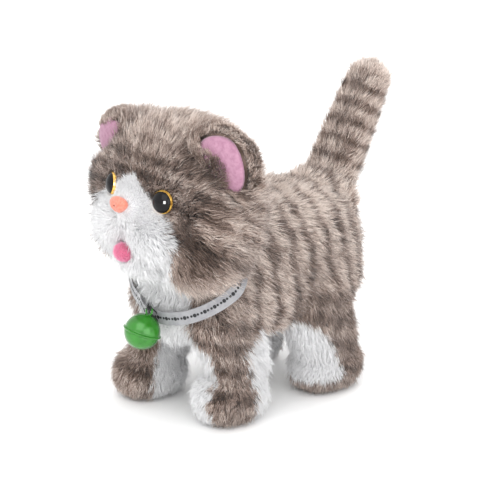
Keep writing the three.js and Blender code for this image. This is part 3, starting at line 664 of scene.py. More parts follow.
def plant(name, skin, ride, coat, comb, length, density, seed, lift, keep, split=None):
    """Plants strands on a skin, one or more pieces of at most MAX_STRANDS strands."""
    roots, normals, rng = scatter(skin, density, seed)
    chosen = keep(roots, normals)
    roots, normals = roots[chosen], normals[chosen]
    count = len(roots)
    grain = comb(roots, normals)
    grain = unit(grain - normals * (grain * normals).sum(1, keepdims=True))
    side = np.cross(normals, grain)
    sway = np.stack([wobble(roots, 7, seed + k) for k in range(2)], 1) * 0.45
    jitter = rng.normal(size=(count, 3)) * SPREAD
    swing = sway[:, 0] + jitter[:, 0] * 0.8
    heading = unit(grain * np.cos(swing)[:, None] + side * np.sin(swing)[:, None])
    calm = 1 - 0.55 * coat(roots)[1]
    rise = np.radians(lift[0] + (14 * sway[:, 1] + 22 * jitter[:, 1]) * calm)[:, None]
    fall = np.radians(lift[1] + (10 * sway[:, 1] + 30 * jitter[:, 2]) * calm)[:, None]
    guard = rng.random(count) < GUARD["share"]
    rise += math.radians(GUARD["lift"]) * guard[:, None]
    fall += math.radians(GUARD["lift"]) * guard[:, None]
    reach = length(roots) * rng.uniform(0.72, 1.18, count) * (1 + GUARD["longer"] * guard)
    bends = roots + (heading * np.cos(rise) + normals * np.sin(rise)) * (reach * 0.5)[:, None]
    tips = bends + (heading * np.cos(fall) + normals * np.sin(fall)) * (reach * 0.5)[:, None]
    leaders = np.arange(0, count, max(2, int(density * FUR_SHARE * CLUMP * CLUMP)))
    leader = nearest_leader(roots, roots[leaders])
    near = np.linalg.norm(roots - roots[leaders][leader], axis=1) < 2 * CLUMP
    pull = (rng.uniform(0.1, 0.5, count) * near * calm)[:, None]
    tips += (tips[leaders][leader] - tips) * pull
    bends += (bends[leaders][leader] - bends) * pull * 0.35
    bends, tips = under_ribbon(bends), under_ribbon(tips)
    for points in (bends, tips):
        points[:, 2] = np.maximum(points[:, 2], FUR_FLOOR)
    starts = roots - normals * 0.6
    for _ in range(3):
        crossing = ~(clear_of_face(bends, tips) & clear_of_bell(bends, tips))
        for end in (bends, tips):
            end[crossing] = roots[crossing] + 0.65 * (end[crossing] - roots[crossing])
    fine = clear_of_face(bends, tips) & clear_of_bell(bends, tips)
    tone_low, white = coat(bends)
    tone_high = coat((bends + tips) / 2)[0]
    vary = rng.normal(size=len(leaders))[leader] * 0.05 + rng.normal(size=count) * 0.1
    vary += 0.07 * wobble(roots, 5, seed + 9)
    is_white = rng.random(count) < white
    pale = rng.random(count) < 0.14
    body_tone = np.clip(tone_low + vary - 0.12, 0, 1)
    tip_tone = np.clip(tone_high + vary + 0.12 + 0.2 * pale + 0.08 * guard, 0, 1)
    shades = np.stack([np.rint(t * (BROWNS - 1)) for t in (body_tone, tip_tone)], 1).astype(int)
    milk = BROWNS + np.stack([rng.integers(1, 3, count), rng.integers(2, WHITES, count)], 1)
    shades[is_white] = milk[is_white]
    widths = rng.uniform(0.8, 1.25, count) * STRAND_WIDTH
    labels, group_of = split or ([""], lambda p: np.zeros(len(p), int))
    groups = group_of(roots)
    for g, label in enumerate(labels):
        rows = np.flatnonzero(fine & (groups == g))
        parts = max(1, math.ceil(len(rows) / MAX_STRANDS))
        for part, some in enumerate(np.array_split(rows, parts)):
            if len(some) == 0:
                continue
            suffix = "_" + label if label else ""
            if parts > 1:
                suffix += f"_{part + 1}"
            piece = strand_mesh(
                f"{name}{suffix}", starts[some], bends[some], tips[some], side[some],
                widths[some], shades[some], PILE,
            )
            ride(piece)


# ------------------------------------------------------------------ skins


def inside_lump(p, centre, semi, power=2.0):
    return (np.abs((p - np.array(centre, float)) / np.array(semi, float)) ** power).sum(1) < 1


def ear_spin(side):
    return turn_y(side * EARS[side]["splay"]) @ turn_z(side * EARS[side]["turn"])


def ear_local(p, side):
    """Points seen from an ear: outward, back and up along it."""
    return (p - np.array(EARS[side]["centre"], float)) @ ear_spin(side) * (side, 1, 1)


def felt_shows(p, side):
    """True where the felt of an ear is seen: a crescent on the left, a wedge on the right."""
    out, back, up = ear_local(p, side).T
    a, b = EARS[side]["felt"]
    on_felt = (out / a) ** 2 + (up / b) ** 2 < 1
    if side > 0:
        shown = ((out + 3.4) ** 2 + (up + 5.4) ** 2 > 14.6 ** 2) & (up > -3)
    else:
        shown = (up > 3 - 0.25 * (out + 14)) & (up < 0.2 * (out + 14) + 4.5)
    return on_felt & shown & (back < -1) & (back > -16)


def head_lumps():
    parts = [lump(HEAD["centre"], HEAD["semi"], 2.15)]
    parts.append(lump((0, -69, 109.5), (9, 12, 9)))
    parts.append(lump((0, -74, 112), (7.5, 7.5, 6.5)))
    parts.append(lump((0, -66.5, 86), (15, 11.5, 9)))
    for side in (1, -1):
        parts.append(lump((side * 11.5, -67, 99), (17.5, 12.5, 13.5)))
        parts.append(lump((side * 27, -51.5, 92.5), (17, 20, 17)))
        ear = EARS[side]
        parts.append(lump(ear["centre"], ear["semi"], EAR_POWER, ear_spin(side)))
        parts.append(lump((side * 31, -45, 126), (14, 12, 15)))
        parts.append(lump((side * 32, -56, 112), (14, 13, 16)))
    parts.append(lump((21, -46, 136.5), (15, 12, 11.5)))
    parts.append(lump((-29, -47, 135), (12, 10, 10)))
    return parts


TORSO_MAIN = {"centre": (0, 0, 69), "semi": (30.2, 56, 33.7), "power": 2.9}


def torso_lumps():
    parts = [lump(TORSO_MAIN["centre"], TORSO_MAIN["semi"], TORSO_MAIN["power"])]
    parts.append(lump((0, -45, 60), (22, 14, 22)))
    parts.append(lump((0, -34, 84), (27, 20, 19)))
    parts.append(lump((0, 48, 90), (15, 11, 15)))
    parts.append(lump((0, 41, 96), (13, 12, 11)))
    for side in (1, -1):
        parts.append(lump((side * 19, -37, 62), (13, 17, 22)))
        parts.append(lump((side * 18.5, 27, 60), (13.5, 21, 23)))
    return parts


def leg_path(end, sign):
    """Centres down a leg from hip to ankle, with half widths across and along the leg."""
    hip = np.array((FOOT_X - 1.5, HIP_Y[end], HIP_Z), float)
    ankle = np.array((FOOT_X, HIP_Y[end] + sign * STRIDE, 14), float)
    steps = 7
    path = []
    for k in range(steps):
        t = k / (steps - 1)
        at = hip + (ankle - hip) * (t, ramp(t, 0.1, 0.85), t)
        deep = 17.4 - 1.8 * t if end == "hind" else 15.0 - 2.2 * t
        shift = -2.5 if end == "hind" else 1.2 * (1 - t) + 4.5 * math.sin(math.pi * t)
        across = 10.5 + 1.8 * t if end == "hind" else 10.0 + 1.6 * t
        path.append((at + np.array((0, shift, 0)), across, deep))
    return path


def leg_skin(name):
    end, side = name.split("_")
    sign = 1 if side == "left" else -1
    parts = []
    for at, wide, deep in leg_path(end, sign):
        parts.append(lump(at * (sign, 1, 1), (wide, deep, 10)))
    foot_y = HIP_Y[end] + sign * STRIDE - 1.5
    foot_long = 18.2 if end == "hind" else 17.2
    parts.append(lump((sign * FOOT_X, foot_y, 12), (13.4, foot_long, 11.6), 2.3))
    obj = union(f"skin_{name}_leg", parts, voxel=1.2, rounds=8)
    co = coordinates(obj)
    co[:, 2] = np.maximum(co[:, 2], 1.2)
    move_points(obj, co)
    obj.data.update()
    return obj


def tail_lumps():
    base, tip = np.array(TAIL_BASE, float), np.array(TAIL_TIP, float)
    length = np.linalg.norm(tip - base)
    parts = []
    for t in np.linspace(-9, length - 11.2, 16):
        r = np.interp(t, [-9, 0, 30, length - 11], [9.4, 9.8, 9.2, 7.9])
        parts.append(lump(base + TAIL_AXIS * t, (r, r, r)))
    return parts


def block(xs, ys, zs):
    verts = [(x, y, z) for x in xs for y in ys for z in zs]
    faces = [(0, 1, 3, 2), (4, 6, 7, 5), (0, 4, 5, 1), (2, 3, 7, 6), (0, 2, 6, 4), (1, 5, 7, 3)]
    return verts, faces


def hatch_cutter():
    h = HATCH
    corners = ((-h["half"], h["half"]), (h["front"], h["rear"]), (h["low"], h["top"]))
    obj = mesh_object("hatch_cutter", *block(*corners), [], smooth=False)
    face_outward(obj)
    return obj


cutter = hatch_cutter()
skin_head = union("skin_head", head_lumps(), voxel=1.4, rounds=8)
skin_torso = union("skin_torso", torso_lumps(), voxel=1.5, rounds=14, hatch=cutter)
bpy.data.objects.remove(cutter)
skin_tail = union("skin_tail", tail_lumps(), voxel=1.2, rounds=6)
LEGS = ("front_left", "front_right", "hind_left", "hind_right")
skin_legs = {name: leg_skin(name) for name in LEGS}

paint(skin_head, backing_color_and_gap_shade(head_coat))
paint(skin_torso, backing_color_and_gap_shade(torso_coat))
paint(skin_tail, backing_color_and_gap_shade(tail_coat))
for leg_name, leg_obj in skin_legs.items():
    paint(leg_obj, backing_color_and_gap_shade(leg_coat(leg_name)))

# ------------------------------------------------------------------ riding


def rides(body):
    return lambda piece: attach(piece, body)


def settle(obj, body, slot, *nodes):
    """Says which body a piece rides and which CAD nodes it replaces. The slot argument is not used.
    """
    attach(obj, body)
    for name in nodes:
        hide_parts(name)


def tail_ride(piece):
    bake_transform(piece)


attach(skin_head, "head")
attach(skin_torso, "torso")
tail_ride(skin_tail)
for leg_name, leg_obj in skin_legs.items():
    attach(leg_obj, f"{leg_name}_leg")
    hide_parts(f"{leg_name}_leg_plush")
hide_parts("head_plush")
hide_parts("body_plush")
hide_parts("tail_plush")

# ------------------------------------------------------------------ combing and lengths


def head_comb(p, n):
    away = unit(p - np.array((0, -82.5, 108.5)))
    grain = away + np.array((0, 0.35, 0))
    low = 1 - ramp(p[:, 2], 88, 114)
    grain = grain + low[:, None] * np.array((0, 0.0, -0.55))
    for side in (1, -1):
        local = ear_local(p, side)
        near = ramp(local[:, 2], -9, 0) * (np.abs(local[:, 0]) < 16) * (np.abs(local[:, 1]) < 10)
        up = ear_spin(side) @ np.array((0, 0, 1.0))
        forward = ear_spin(side) @ np.array((0, -1.0, 0))
        out = unit(p - np.array(EARS[side]["centre"]) + 6 * up) * 0.8 + up * 0.4 + forward * 0.5
        grain = grain * (1 - near[:, None]) + out * near[:, None]
    return grain


def head_length(p):
    from_nose = np.linalg.norm(p - np.array((0, -80.5, 107.5)), axis=1)
    reach = 4.8 + 4.2 * ramp(from_nose, 12, 44)
    reach = np.minimum(reach, 2.6 + 0.42 * np.maximum(eye_distance(p) - 5, 0))
    for side in (1, -1):
        out, back, up = ear_local(p, side).T
        on_ear = (up > -2) & (np.abs(out) < 16) & (np.abs(back) < 10)
        reach = np.where(on_ear, 4.0, reach)
        before_felt = (back < -2) & (back > -16) & (np.abs(out) < 15) & (up > -16) & (up < 6)
        reach = np.where(before_felt, 7.6, reach)
    bridge = (np.abs(p[:, 0]) < 14) & (p[:, 2] > 106) & (p[:, 1] < -60)
    low_pile = 0.5 + 0.5 * ramp(p[:, 2], 120, 132)
    return np.where(bridge, reach * low_pile, reach)


def head_keep(p, n):
    keep = ~inside_lump(p, (0, 0, 69), (27, 52, 30), 2.9)
    keep &= eye_distance(p) > 5.3
    for side in (1, -1):
        keep &= ~felt_shows(p, side)
    return keep


def torso_comb(p, n):
    grain = np.tile(np.array((0, 0.75, -0.55)), (len(p), 1))
    front = 1 - ramp(p[:, 1], -52, -34)
    grain = grain * (1 - front[:, None]) + front[:, None] * np.array((0, 0.15, -1.0))
    rump = ramp(p[:, 1], 30, 48)[:, None] * ramp(p[:, 2], 84, 96)[:, None]
    return grain * (1 - rump) + rump * (TAIL_AXIS + np.array((0, 0.4, 0)))


def torso_length(p):
    return 8.4 - 2.2 * (1 - ramp(p[:, 2], 36, 48))


def in_hatch(p):
    h = HATCH
    return (
        (np.abs(p[:, 0]) < h["half"] + 0.5)
        & (p[:, 1] > h["front"] - 0.5)
        & (p[:, 1] < h["rear"] + 0.5)
        & (p[:, 2] < h["top"] + 1)
    )


def torso_keep(p, n):
    keep = ~inside_lump(p, HEAD["centre"], np.array(HEAD["semi"]) - 3, 2.15)
    keep &= ~in_hatch(p)
    return keep


def leg_comb(name):
    end, side = name.split("_")
    sign = 1 if side == "left" else -1
    ankle = np.array((sign * FOOT_X, HIP_Y[end] + sign * STRIDE, 26.0))

    def comb(p, n):
        low = (1 - ramp(p[:, 2], 16, 30))[:, None]
        down = np.array((0.15 * sign, 0.2, -1.0))
        return down * (1 - low) + low * (unit(p - ankle) * 0.8 + np.array((0, 0, -0.35)))

    return comb


def leg_length(p):
    return 5.2 + 2.4 * ramp(p[:, 2], 14, 40)


def leg_keep(p, n):
    keep = ~inside_lump(p, TORSO_MAIN["centre"], (27, 52, 30), 2.9)
    keep &= ~((p[:, 2] < 1.6) & (n[:, 2] < -0.8) & (np.abs(n[:, 0]) < 0.5))
    return keep


def tail_comb(p, n):
    return np.tile(TAIL_AXIS, (len(p), 1)) + 0.1 * n


def tail_keep(p, n):
    return along_tail(p) > -4


# The names of the pieces that a coat is split into, and which one a strand belongs to.
halves = (["left", "right"], lambda p: (p[:, 0] < 0).astype(int))
head_parts = (
    ["face", "left", "right"],
    lambda p: np.where((p[:, 1] < -64), 0, np.where(p[:, 0] < 0, 2, 1)),
)

plant("fur_head", skin_head, rides("head"), head_coat, head_comb, head_length,
      density=4.8, seed=101, keep=head_keep, split=head_parts, lift=(44, 20))
plant("fur_torso", skin_torso, rides("torso"), torso_coat, torso_comb, torso_length,
      density=4.2, seed=102, keep=torso_keep, split=halves, lift=(46, 20))
plant("fur_tail", skin_tail, tail_ride, tail_coat, tail_comb,
      lambda p: np.full(len(p), 7.6), density=4.4, seed=103, keep=tail_keep, lift=(42, 18))
for leg_name, leg_obj in skin_legs.items():
    plant(f"fur_{leg_name}_leg", leg_obj, rides(f"{leg_name}_leg"), leg_coat(leg_name),
          leg_comb(leg_name), leg_length, density=4.4, seed=110 + LEGS.index(leg_name),
          keep=leg_keep, lift=(44, 20))

# ------------------------------------------------------------------ face


def grid_faces(rows, columns, looped=False, first=0):
    """Faces between rows of points, each row a ring. looped joins the last row to the first."""
    faces = []
    for i in range(rows if looped else rows - 1):
        low, high = first + i * columns, first + (i + 1) % rows * columns
        for j in range(columns):
            k = (j + 1) % columns
            faces.append((low + j, low + k, high + k, high + j))
    return faces


def lathe(profile, sides=48):
    """Spins (radius, height) points about +Z. Radius 0 closes an end."""
    verts, faces, rings = [], [], []
    for r, h in profile:
        if r < 1e-9:
            rings.append([len(verts)])
            verts.append((0, 0, h))
        else:
            rings.append(list(range(len(verts), len(verts) + sides)))
            for k in range(sides):
                a = 2 * math.pi * k / sides
                verts.append((r * math.cos(a), r * math.sin(a), h))
    zones = []
    for i, (low, high) in enumerate(zip(rings, rings[1:])):
        for j in range(sides):
            k = (j + 1) % sides
            if len(low) == 1 and len(high) == 1:
                continue
            if len(low) == 1:
                faces.append((low[0], high[k], high[j]))
            elif len(high) == 1:
                faces.append((low[j], low[k], high[0]))
            else:
                faces.append((low[j], low[k], high[k], high[j]))
            zones.append(i)
    return np.array(verts), faces, np.array(zones)


def aimed(verts, aim, centre):
    """Turns points drawn along +Z to look along aim, at centre."""
    aim = unit(np.array(aim, float))
    u = unit(np.cross((0, 0, 1.0), aim))
    v = np.cross(aim, u)
    return verts @ np.stack([u, v, aim]) + np.array(centre, float)


def make_eyes():
    black = new_material("eye_pupil", srgb(7, 6, 7), 0.05, Specular_IOR_Level=0.22)
    bumpy(black, 300.0, 0.02)
    gold = new_material("eye_ring", srgb(196, 150, 62), 0.25, 0.5)
    mottled(gold, srgb(226, 186, 96), srgb(140, 96, 34), 700.0)
    rim = new_material("eye_rim", srgb(20, 16, 14), 0.3, Coat_Weight=0.6)
    bumpy(rim, 500.0, 0.1)
    radius, dome, steps = EYE["radius"], EYE["dome"], 14
    cup = [(0, -0.6), (radius * 0.9, -0.6), (radius + 0.15, -0.2), (radius + 0.15, 0.5)]
    curve = []
    for k in range(steps + 1):
        a = math.pi / 2 * k / steps
        curve.append((radius * math.cos(a) if k < steps else 0, 0.6 + dome * math.sin(a)))
    zones = [0] * len(cup) + [1 if r > radius * 0.94 else 2 for r, _ in curve]
    verts, faces, band = lathe(cup + curve, 64)
    for side, word in SIDES:
        placed = aimed(verts, mirrored(EYE["aim"], side), mirrored(EYE["centre"], side))
        eye = mesh_object(f"eye_{word}_dome", placed, faces, [rim, gold, black],
                          [zones[b] for b in band])
        settle(eye, "head", "eye", f"eye_{word}")


def make_nose():
    """A rounded triangle of brushed plush with a cleft under a small dimple."""
    peach = new_material("nose_velour", srgb(214, 128, 108), 0.6, Sheen_Weight=0.3)
    mottled(peach, srgb(222, 138, 118), srgb(204, 112, 90), 900.0)
    bumpy(peach, 2200.0, 0.5, 0.0001)
    dark = new_material("nose_dimple", srgb(120, 52, 34), 0.8)
    bumpy(dark, 2200.0, 0.4)
    verts, faces = BALL
    x, y, z = verts.T
    sx, sy, sz = NOSE["semi"]
    taper = 0.55 + 0.45 * ramp(z, -0.95, 0.35)
    px = np.sign(x) * np.abs(x) ** 0.85 * sx * taper
    pz = np.sign(z) * np.abs(z) ** 0.9 * sz
    py = y * sy
    cleft = np.exp(-((px / 0.55) ** 2)) * (1 - ramp(pz, -1.2, 0.2)) * (y < 0)
    dimple = np.exp(-((px / 0.55) ** 2 + ((pz - 0.1) / 0.55) ** 2)) * (y < 0)
    lobes = 0.35 * np.exp(-(((np.abs(px) - 2.5) / 1.5) ** 2 + ((pz + 0.4) / 1.5) ** 2)) * (y < 0)
    py = py + 0.55 * cleft + 0.7 * dimple - lobes
    placed = np.stack([px, py, pz], 1) + np.array(NOSE["centre"])
    centres = np.array([placed[f].mean(0) for f in faces]) - np.array(NOSE["centre"])
    spot = (centres[:, 0] ** 2 + (centres[:, 2] - 0.1) ** 2 < 0.5**2) & (centres[:, 1] < 0)
    nose = mesh_object("nose_pad", placed, faces, [peach, dark], spot.astype(int))
    settle(nose, "head", "nose", "nose")


def make_tongue():
    pink = new_material("tongue_plush", srgb(240, 110, 156), 0.7, Sheen_Weight=0.6)
    mottled(pink, srgb(250, 140, 180), srgb(226, 86, 136), 700.0)
    bumpy(pink, 1800.0, 0.7, 0.0002)
    verts, faces = lump((0, 0, 0), np.array(TONGUE["semi"]) - 0.9, 2.1)
    verts = verts * (1 + 0.05 * wobble(verts, 2.2, 61))[:, None] + np.array(TONGUE["centre"])
    tongue = mesh_object("tongue_pad", verts, faces, [pink])
    settle(tongue, "head", "tongue", "tongue")
    roots, normals, rng = scatter(tongue, 9.0, 62)
    reach = rng.uniform(0.9, 1.7, len(roots))[:, None]
    drift = unit(normals + rng.normal(size=roots.shape) * 0.35 + np.array((0, 0, -0.3)))
    bends = roots + normals * reach * 0.5
    tips = bends + drift * reach * 0.6
    side = unit(np.cross(normals, rng.normal(size=roots.shape)))
    shades = np.stack([rng.integers(0, 2, len(roots)), rng.integers(1, 3, len(roots))], 1)
    tuft = strand_mesh("tongue_pile", roots - normals * 0.2, bends, tips, side,
                       np.full(len(roots), 0.26), shades, PINK_PILE)
    settle(tuft, "head", "tongue")


def make_inner_ears():
    felt = new_material("ear_felt", srgb(170, 126, 148), 0.95, Sheen_Weight=0.2)
    mottled(felt, srgb(176, 132, 153), srgb(158, 113, 136), 500.0, detail=6.0)
    bumpy(felt, 1500.0, 0.8, 0.0003, 6.0)
    rows, columns = 16, 72
    for side, word in SIDES:
        ear = EARS[side]
        a, b = ear["felt"]
        wide, deep, tall = ear["semi"]
        verts = []
        for face in (-1, 1):
            for i in range(rows + 1)[::-face]:
                r = i / rows
                for j in range(columns):
                    t = 2 * math.pi * j / columns
                    x, z = a * r * math.cos(t), b * r * math.sin(t)
                    inside = 1 - abs(x / wide) ** EAR_POWER - abs(z / tall) ** EAR_POWER
                    follow = max(0.0, inside) ** (1 / EAR_POWER)
                    front = deep * (FELT["flatness"] + (1 - FELT["flatness"]) * follow)
                    rim = FELT["thick"] * math.sqrt(max(0.0, 1 - r**6))
                    verts.append((side * x, -front - FELT["proud"] + face * rim / 2, z))
        verts = np.array(verts)
        verts[:, 1] += 0.16 * wobble(verts * (1, 0, 1), 3.0, 71)
        faces = grid_faces(2 * rows + 2, columns)
        placed = verts @ ear_spin(side).T + np.array(ear["centre"], float)
        lining = mesh_object(f"ear_lining_{word}", placed, faces, [felt])
        face_outward(lining, weld=True)
        settle(lining, "head", "felt", f"inner_ear_{word}")


make_eyes()
make_nose()
make_tongue()
make_inner_ears()

# ------------------------------------------------------------------ ribbon and bell


def on_ring(x, out, up):
    """Places in the tilted frame of the collar: along x, out from its centre and up."""
    x, out, up = (np.asarray(v, float)[..., None] for v in (x, out, up))
    return x * (1, 0, 0) + out * RIBBON_OUT + up * RIBBON_UP + RIBBON["centre"]


def ribbon_point(angle, across, lift):
    """A point on the collar: angle round it, across its width, lift off its inner face."""
    a, b = RIBBON["semi"]
    flare = math.radians(RIBBON["flare"])
    turn = np.degrees(np.mod(angle + math.pi, 2 * math.pi) - math.pi)
    sunk = ramp(turn, -22, 8) * 11.0 + ramp(-turn, 92, 108) * ramp(turn, -150, -126) * 2.5
    lean = lift * math.cos(flare) - across * math.sin(flare) - sunk
    rise = across * math.cos(flare) + lift * math.sin(flare)
    return on_ring((a + lean) * np.cos(angle), (b + lean) * np.sin(angle), rise)


def ribbon_wave(angle):
    return 0.25 * math.sin(5 * angle + 0.7) + 0.15 * math.sin(11 * angle)


def ribbon_drift(angle):
    """How far the strap wanders sideways."""
    return 0.3 * math.sin(3 * angle + 1.1)


def make_ribbon():
    """A thin ribbed strap, closed on itself, with a thicker woven edge."""
    cloth = new_material("ribbon_organza", srgb(150, 150, 153), 0.45, Sheen_Weight=0.15)
    mottled(cloth, srgb(156, 156, 159), srgb(140, 140, 144), 260.0)
    bumpy(cloth, 3000.0, 0.4, 0.0001)
    around, steps = 720, 12
    half, thick = RIBBON["width"] / 2, RIBBON["thick"]
    section = []
    for k in range(steps + 1):
        u = -half + 2 * half * k / steps
        edge = 0.1 if abs(u) > half - 0.6 else 0.0
        section.append((u, thick + edge))
    section += [(u, 0.0) for u, _ in reversed(section)]
    verts = []
    for i in range(around):
        angle = 2 * math.pi * i / around
        rib = 0.045 * (-1) ** i
        for u, h in section:
            lift = h + (rib if h > 0 else 0) + ribbon_wave(angle) * (1 - (u / half) ** 2 * 0.5)
            verts.append(ribbon_point(angle, u + ribbon_drift(angle), lift))
    faces = grid_faces(around, len(section), looped=True)
    ribbon = mesh_object("collar_strap", np.array(verts), faces, [cloth])
    face_outward(ribbon)
    settle(ribbon, "torso", "ribbon", "collar_ribbon")


def make_ribbon_dots():
    """Plain printed dots along the collar, in threes with a gap."""
    ink = new_material("ribbon_ink", srgb(30, 30, 33), 0.6)
    bumpy(ink, 2500.0, 0.3)
    verts, faces = [], []
    pitch, sides = 5.4, 14
    a, b = RIBBON["semi"]
    count = int(2 * math.pi * (a + b) / 2 / pitch)
    for i in range(count):
        base = 2 * math.pi * i / count
        for shift, radius in ((-1.5, 0.62), (0.35, 0.95), (2.1, 0.62)):
            first = len(verts)
            for height in (0.09, -0.15):
                for k in range(sides):
                    t = 2 * math.pi * k / sides
                    here = base + shift / a + radius * math.cos(t) / a
                    across = radius * math.sin(t) + ribbon_drift(here)
                    lift = RIBBON["thick"] + height + ribbon_wave(here)
                    verts.append(ribbon_point(here, across, lift))
            faces.append([first + k for k in range(sides)])
            faces.append([first + sides + k for k in reversed(range(sides))])
            for k in range(sides):
                m = (k + 1) % sides
                faces.append([first + k, first + sides + k, first + sides + m, first + m])
    dots = mesh_object("collar_print", np.array(verts), faces, [ink], smooth=False)
    settle(dots, "torso", "ribbon")


def bell_place(verts):
    spin = turn_y(BELL["tilt"][1]) @ turn_x(BELL["tilt"][0])
    return np.asarray(verts) @ spin.T + np.array(BELL["centre"], float)


def ring_mesh(radius, tube):
    around, sides = 40, 14
    verts = []
    for i in range(around):
        a = 2 * math.pi * i / around
        for j in range(sides):
            t = 2 * math.pi * j / sides
            r = radius + tube * math.cos(t)
            verts.append((r * math.cos(a), tube * math.sin(t), r * math.sin(a)))
    return np.array(verts), grid_faces(around, sides, looped=True)


def make_bell():
    paint_mat = new_material("bell_enamel", srgb(44, 124, 30), 0.2, 0.2, Coat_Weight=0.35,
                             Coat_Roughness=0.04)
    mottled(paint_mat, srgb(48, 132, 34), srgb(38, 114, 26), 160.0)
    bumpy(paint_mat, 400.0, 0.03)
    radius, wall, rings = BELL["radius"], 0.75, 60
    heights = [radius * math.sin(-math.pi / 2 + math.pi * k / rings) for k in range(rings + 1)]
    profile = []
    for low, high in zip(heights, heights[1:]):
        steps = 5 if abs(low) < 1.6 else 1  # finer round the lip
        for s in range(steps):
            h = low + (high - low) * s / steps
            lip = 0.75 * math.exp(-((h / 0.45) ** 4))
            groove = -0.12 * math.exp(-(((abs(h) - 0.95) / 0.22) ** 2))
            inside = abs(h) < radius - 1e-6
            profile.append((math.sqrt(radius**2 - h**2) + lip + groove if inside else 0.0, h))
    profile.append((0.0, radius))
    verts, faces, _ = lathe(profile, 72)
    shell = mesh_object("bell_ball", verts, faces, [paint_mat])
    inside, slot = lump((0, 0, 0), (radius - wall,) * 3), block((-1, 1), (-7, 7), (-12, -3))
    tools = [mesh_object("bell_inside", *inside, [paint_mat]),
             mesh_object("bell_slot", *slot, [paint_mat])]
    for y in (7, -7):
        v, f, _ = lathe([(0, -12), (1.9, -12), (1.9, -1), (0, -1)], 32)
        tools.append(mesh_object("bell_hole", v + (0, y, 0), f, [paint_mat]))
    for tool in tools:
        move_points(tool, coordinates(tool) @ turn_z(BELL["slot_turn"]).T)
        face_outward(tool)
        cut = shell.modifiers.new("cut", "BOOLEAN")
        cut.operation, cut.object, cut.solver = "DIFFERENCE", tool, "EXACT"
    face_outward(shell)
    baked(shell)
    for tool in tools:
        bpy.data.objects.remove(tool)
    move_points(shell, bell_place(coordinates(shell)))
    shell.data.polygons.foreach_set("use_smooth", np.ones(len(shell.data.polygons), bool))
    shell.data.set_sharp_from_angle(angle=math.radians(40))
    shell.data.update()
    settle(shell, "bell", "bell_paint", "bell_shell")
    v, f = ring_mesh(2.1, 0.48)
    loop = mesh_object("bell_loop", bell_place(v + (0, 0, radius + 1.8)), f, [paint_mat])
    settle(loop, "bell", "bell_paint")


def make_thread():
    """Twisted black thread: a loop round the ribbon and through the bell's eye."""
    black = new_material("thread_black", srgb(20, 20, 21), 0.85, Sheen_Weight=0.3)
    mottled(black, srgb(34, 34, 36), srgb(10, 10, 11), 2500.0)
    bumpy(black, 4000.0, 0.8, 0.0002)
    half_width = RIBBON["width"] / 2
    x = BELL["centre"][0] + 1
    middle = (RIBBON["semi"][1] + 0.2) * math.sqrt(1 - (x / RIBBON["semi"][0]) ** 2)
    low, high, half = -half_width - 1.1, half_width + 3.6, 1.15
    outline = []
    for start, middle_height in ((0, high - half), (math.pi, low + half)):
        for k in range(24):
            a = start + math.pi * k / 23
            outline.append((half * math.cos(a), middle_height + half * math.sin(a)))
    strands, sides, points = 2, 8, 260
    verts, faces = [], []
    outline = np.array(outline + outline[:1])
    steps = np.r_[0, np.cumsum(np.linalg.norm(np.diff(outline, axis=0), axis=1))]
    at = np.linspace(0, steps[-1], points, endpoint=False)
    path = np.stack([np.interp(at, steps, outline[:, k]) for k in range(2)], 1)
    for strand in range(strands):
        faces += grid_faces(points, sides, looped=True, first=len(verts))
        for i in range(points):
            ahead = unit(path[(i + 1) % points] - path[i - 1])
            across = np.array((-ahead[1], ahead[0]))
            twist = 2 * math.pi * (18 * i / points + strand / strands)
            centre = path[i] + across * 0.2 * math.cos(twist)
            sideways = 0.2 * math.sin(twist)
            for j in range(sides):
                t = 2 * math.pi * j / sides
                u, v = centre + across * 0.24 * math.cos(t)
                verts.append(on_ring(x + sideways + 0.24 * math.sin(t), u - middle, v))
    thread = mesh_object("bell_thread_loop", np.array(verts), faces, [black])
    face_outward(thread)
    settle(thread, "torso", "thread", "bell_thread")


def make_knot():
    """The thread's knot, with cut ends."""
    black = bpy.data.materials["thread_black"]
    top = np.array((BELL["centre"][0] + 1.5, -70.4, 60.8))
    verts, faces = lump((0, 0, 0), (1.5, 1.2, 1.3), 2.2)
    verts = verts * (1 + 0.14 * wobble(verts, 1.2, 81))[:, None]
    knot = mesh_object("bell_knot", verts + top, faces, [black])
    settle(knot, "torso", "thread")
    ends = new_material("thread_end", srgb(18, 18, 19), 0.85)
    rng = np.random.default_rng(82)
    count = 26
    way = unit(rng.normal(size=(count, 3)) * (0.8, 0.5, 0.6) + np.array((0.1, -0.4, 0.9)))
    reach = rng.uniform(1.6, 3.4, count)[:, None]
    roots = np.tile(top, (count, 1))
    bends = roots + way * reach * 0.6
    tips = bends + unit(way + rng.normal(size=(count, 3)) * 0.4) * reach * 0.5
    side = unit(np.cross(way, (1.0, 0.2, 0.1)))
    tuft = strand_mesh("bell_knot_ends", roots, bends, tips, side, np.full(count, 0.36),
                       np.zeros((count, 2), int), [ends])
    settle(tuft, "torso", "thread")


make_ribbon()
make_ribbon_dots()
make_bell()
make_thread()
make_knot()

# ------------------------------------------------------------------ finishes of the CAD nodes

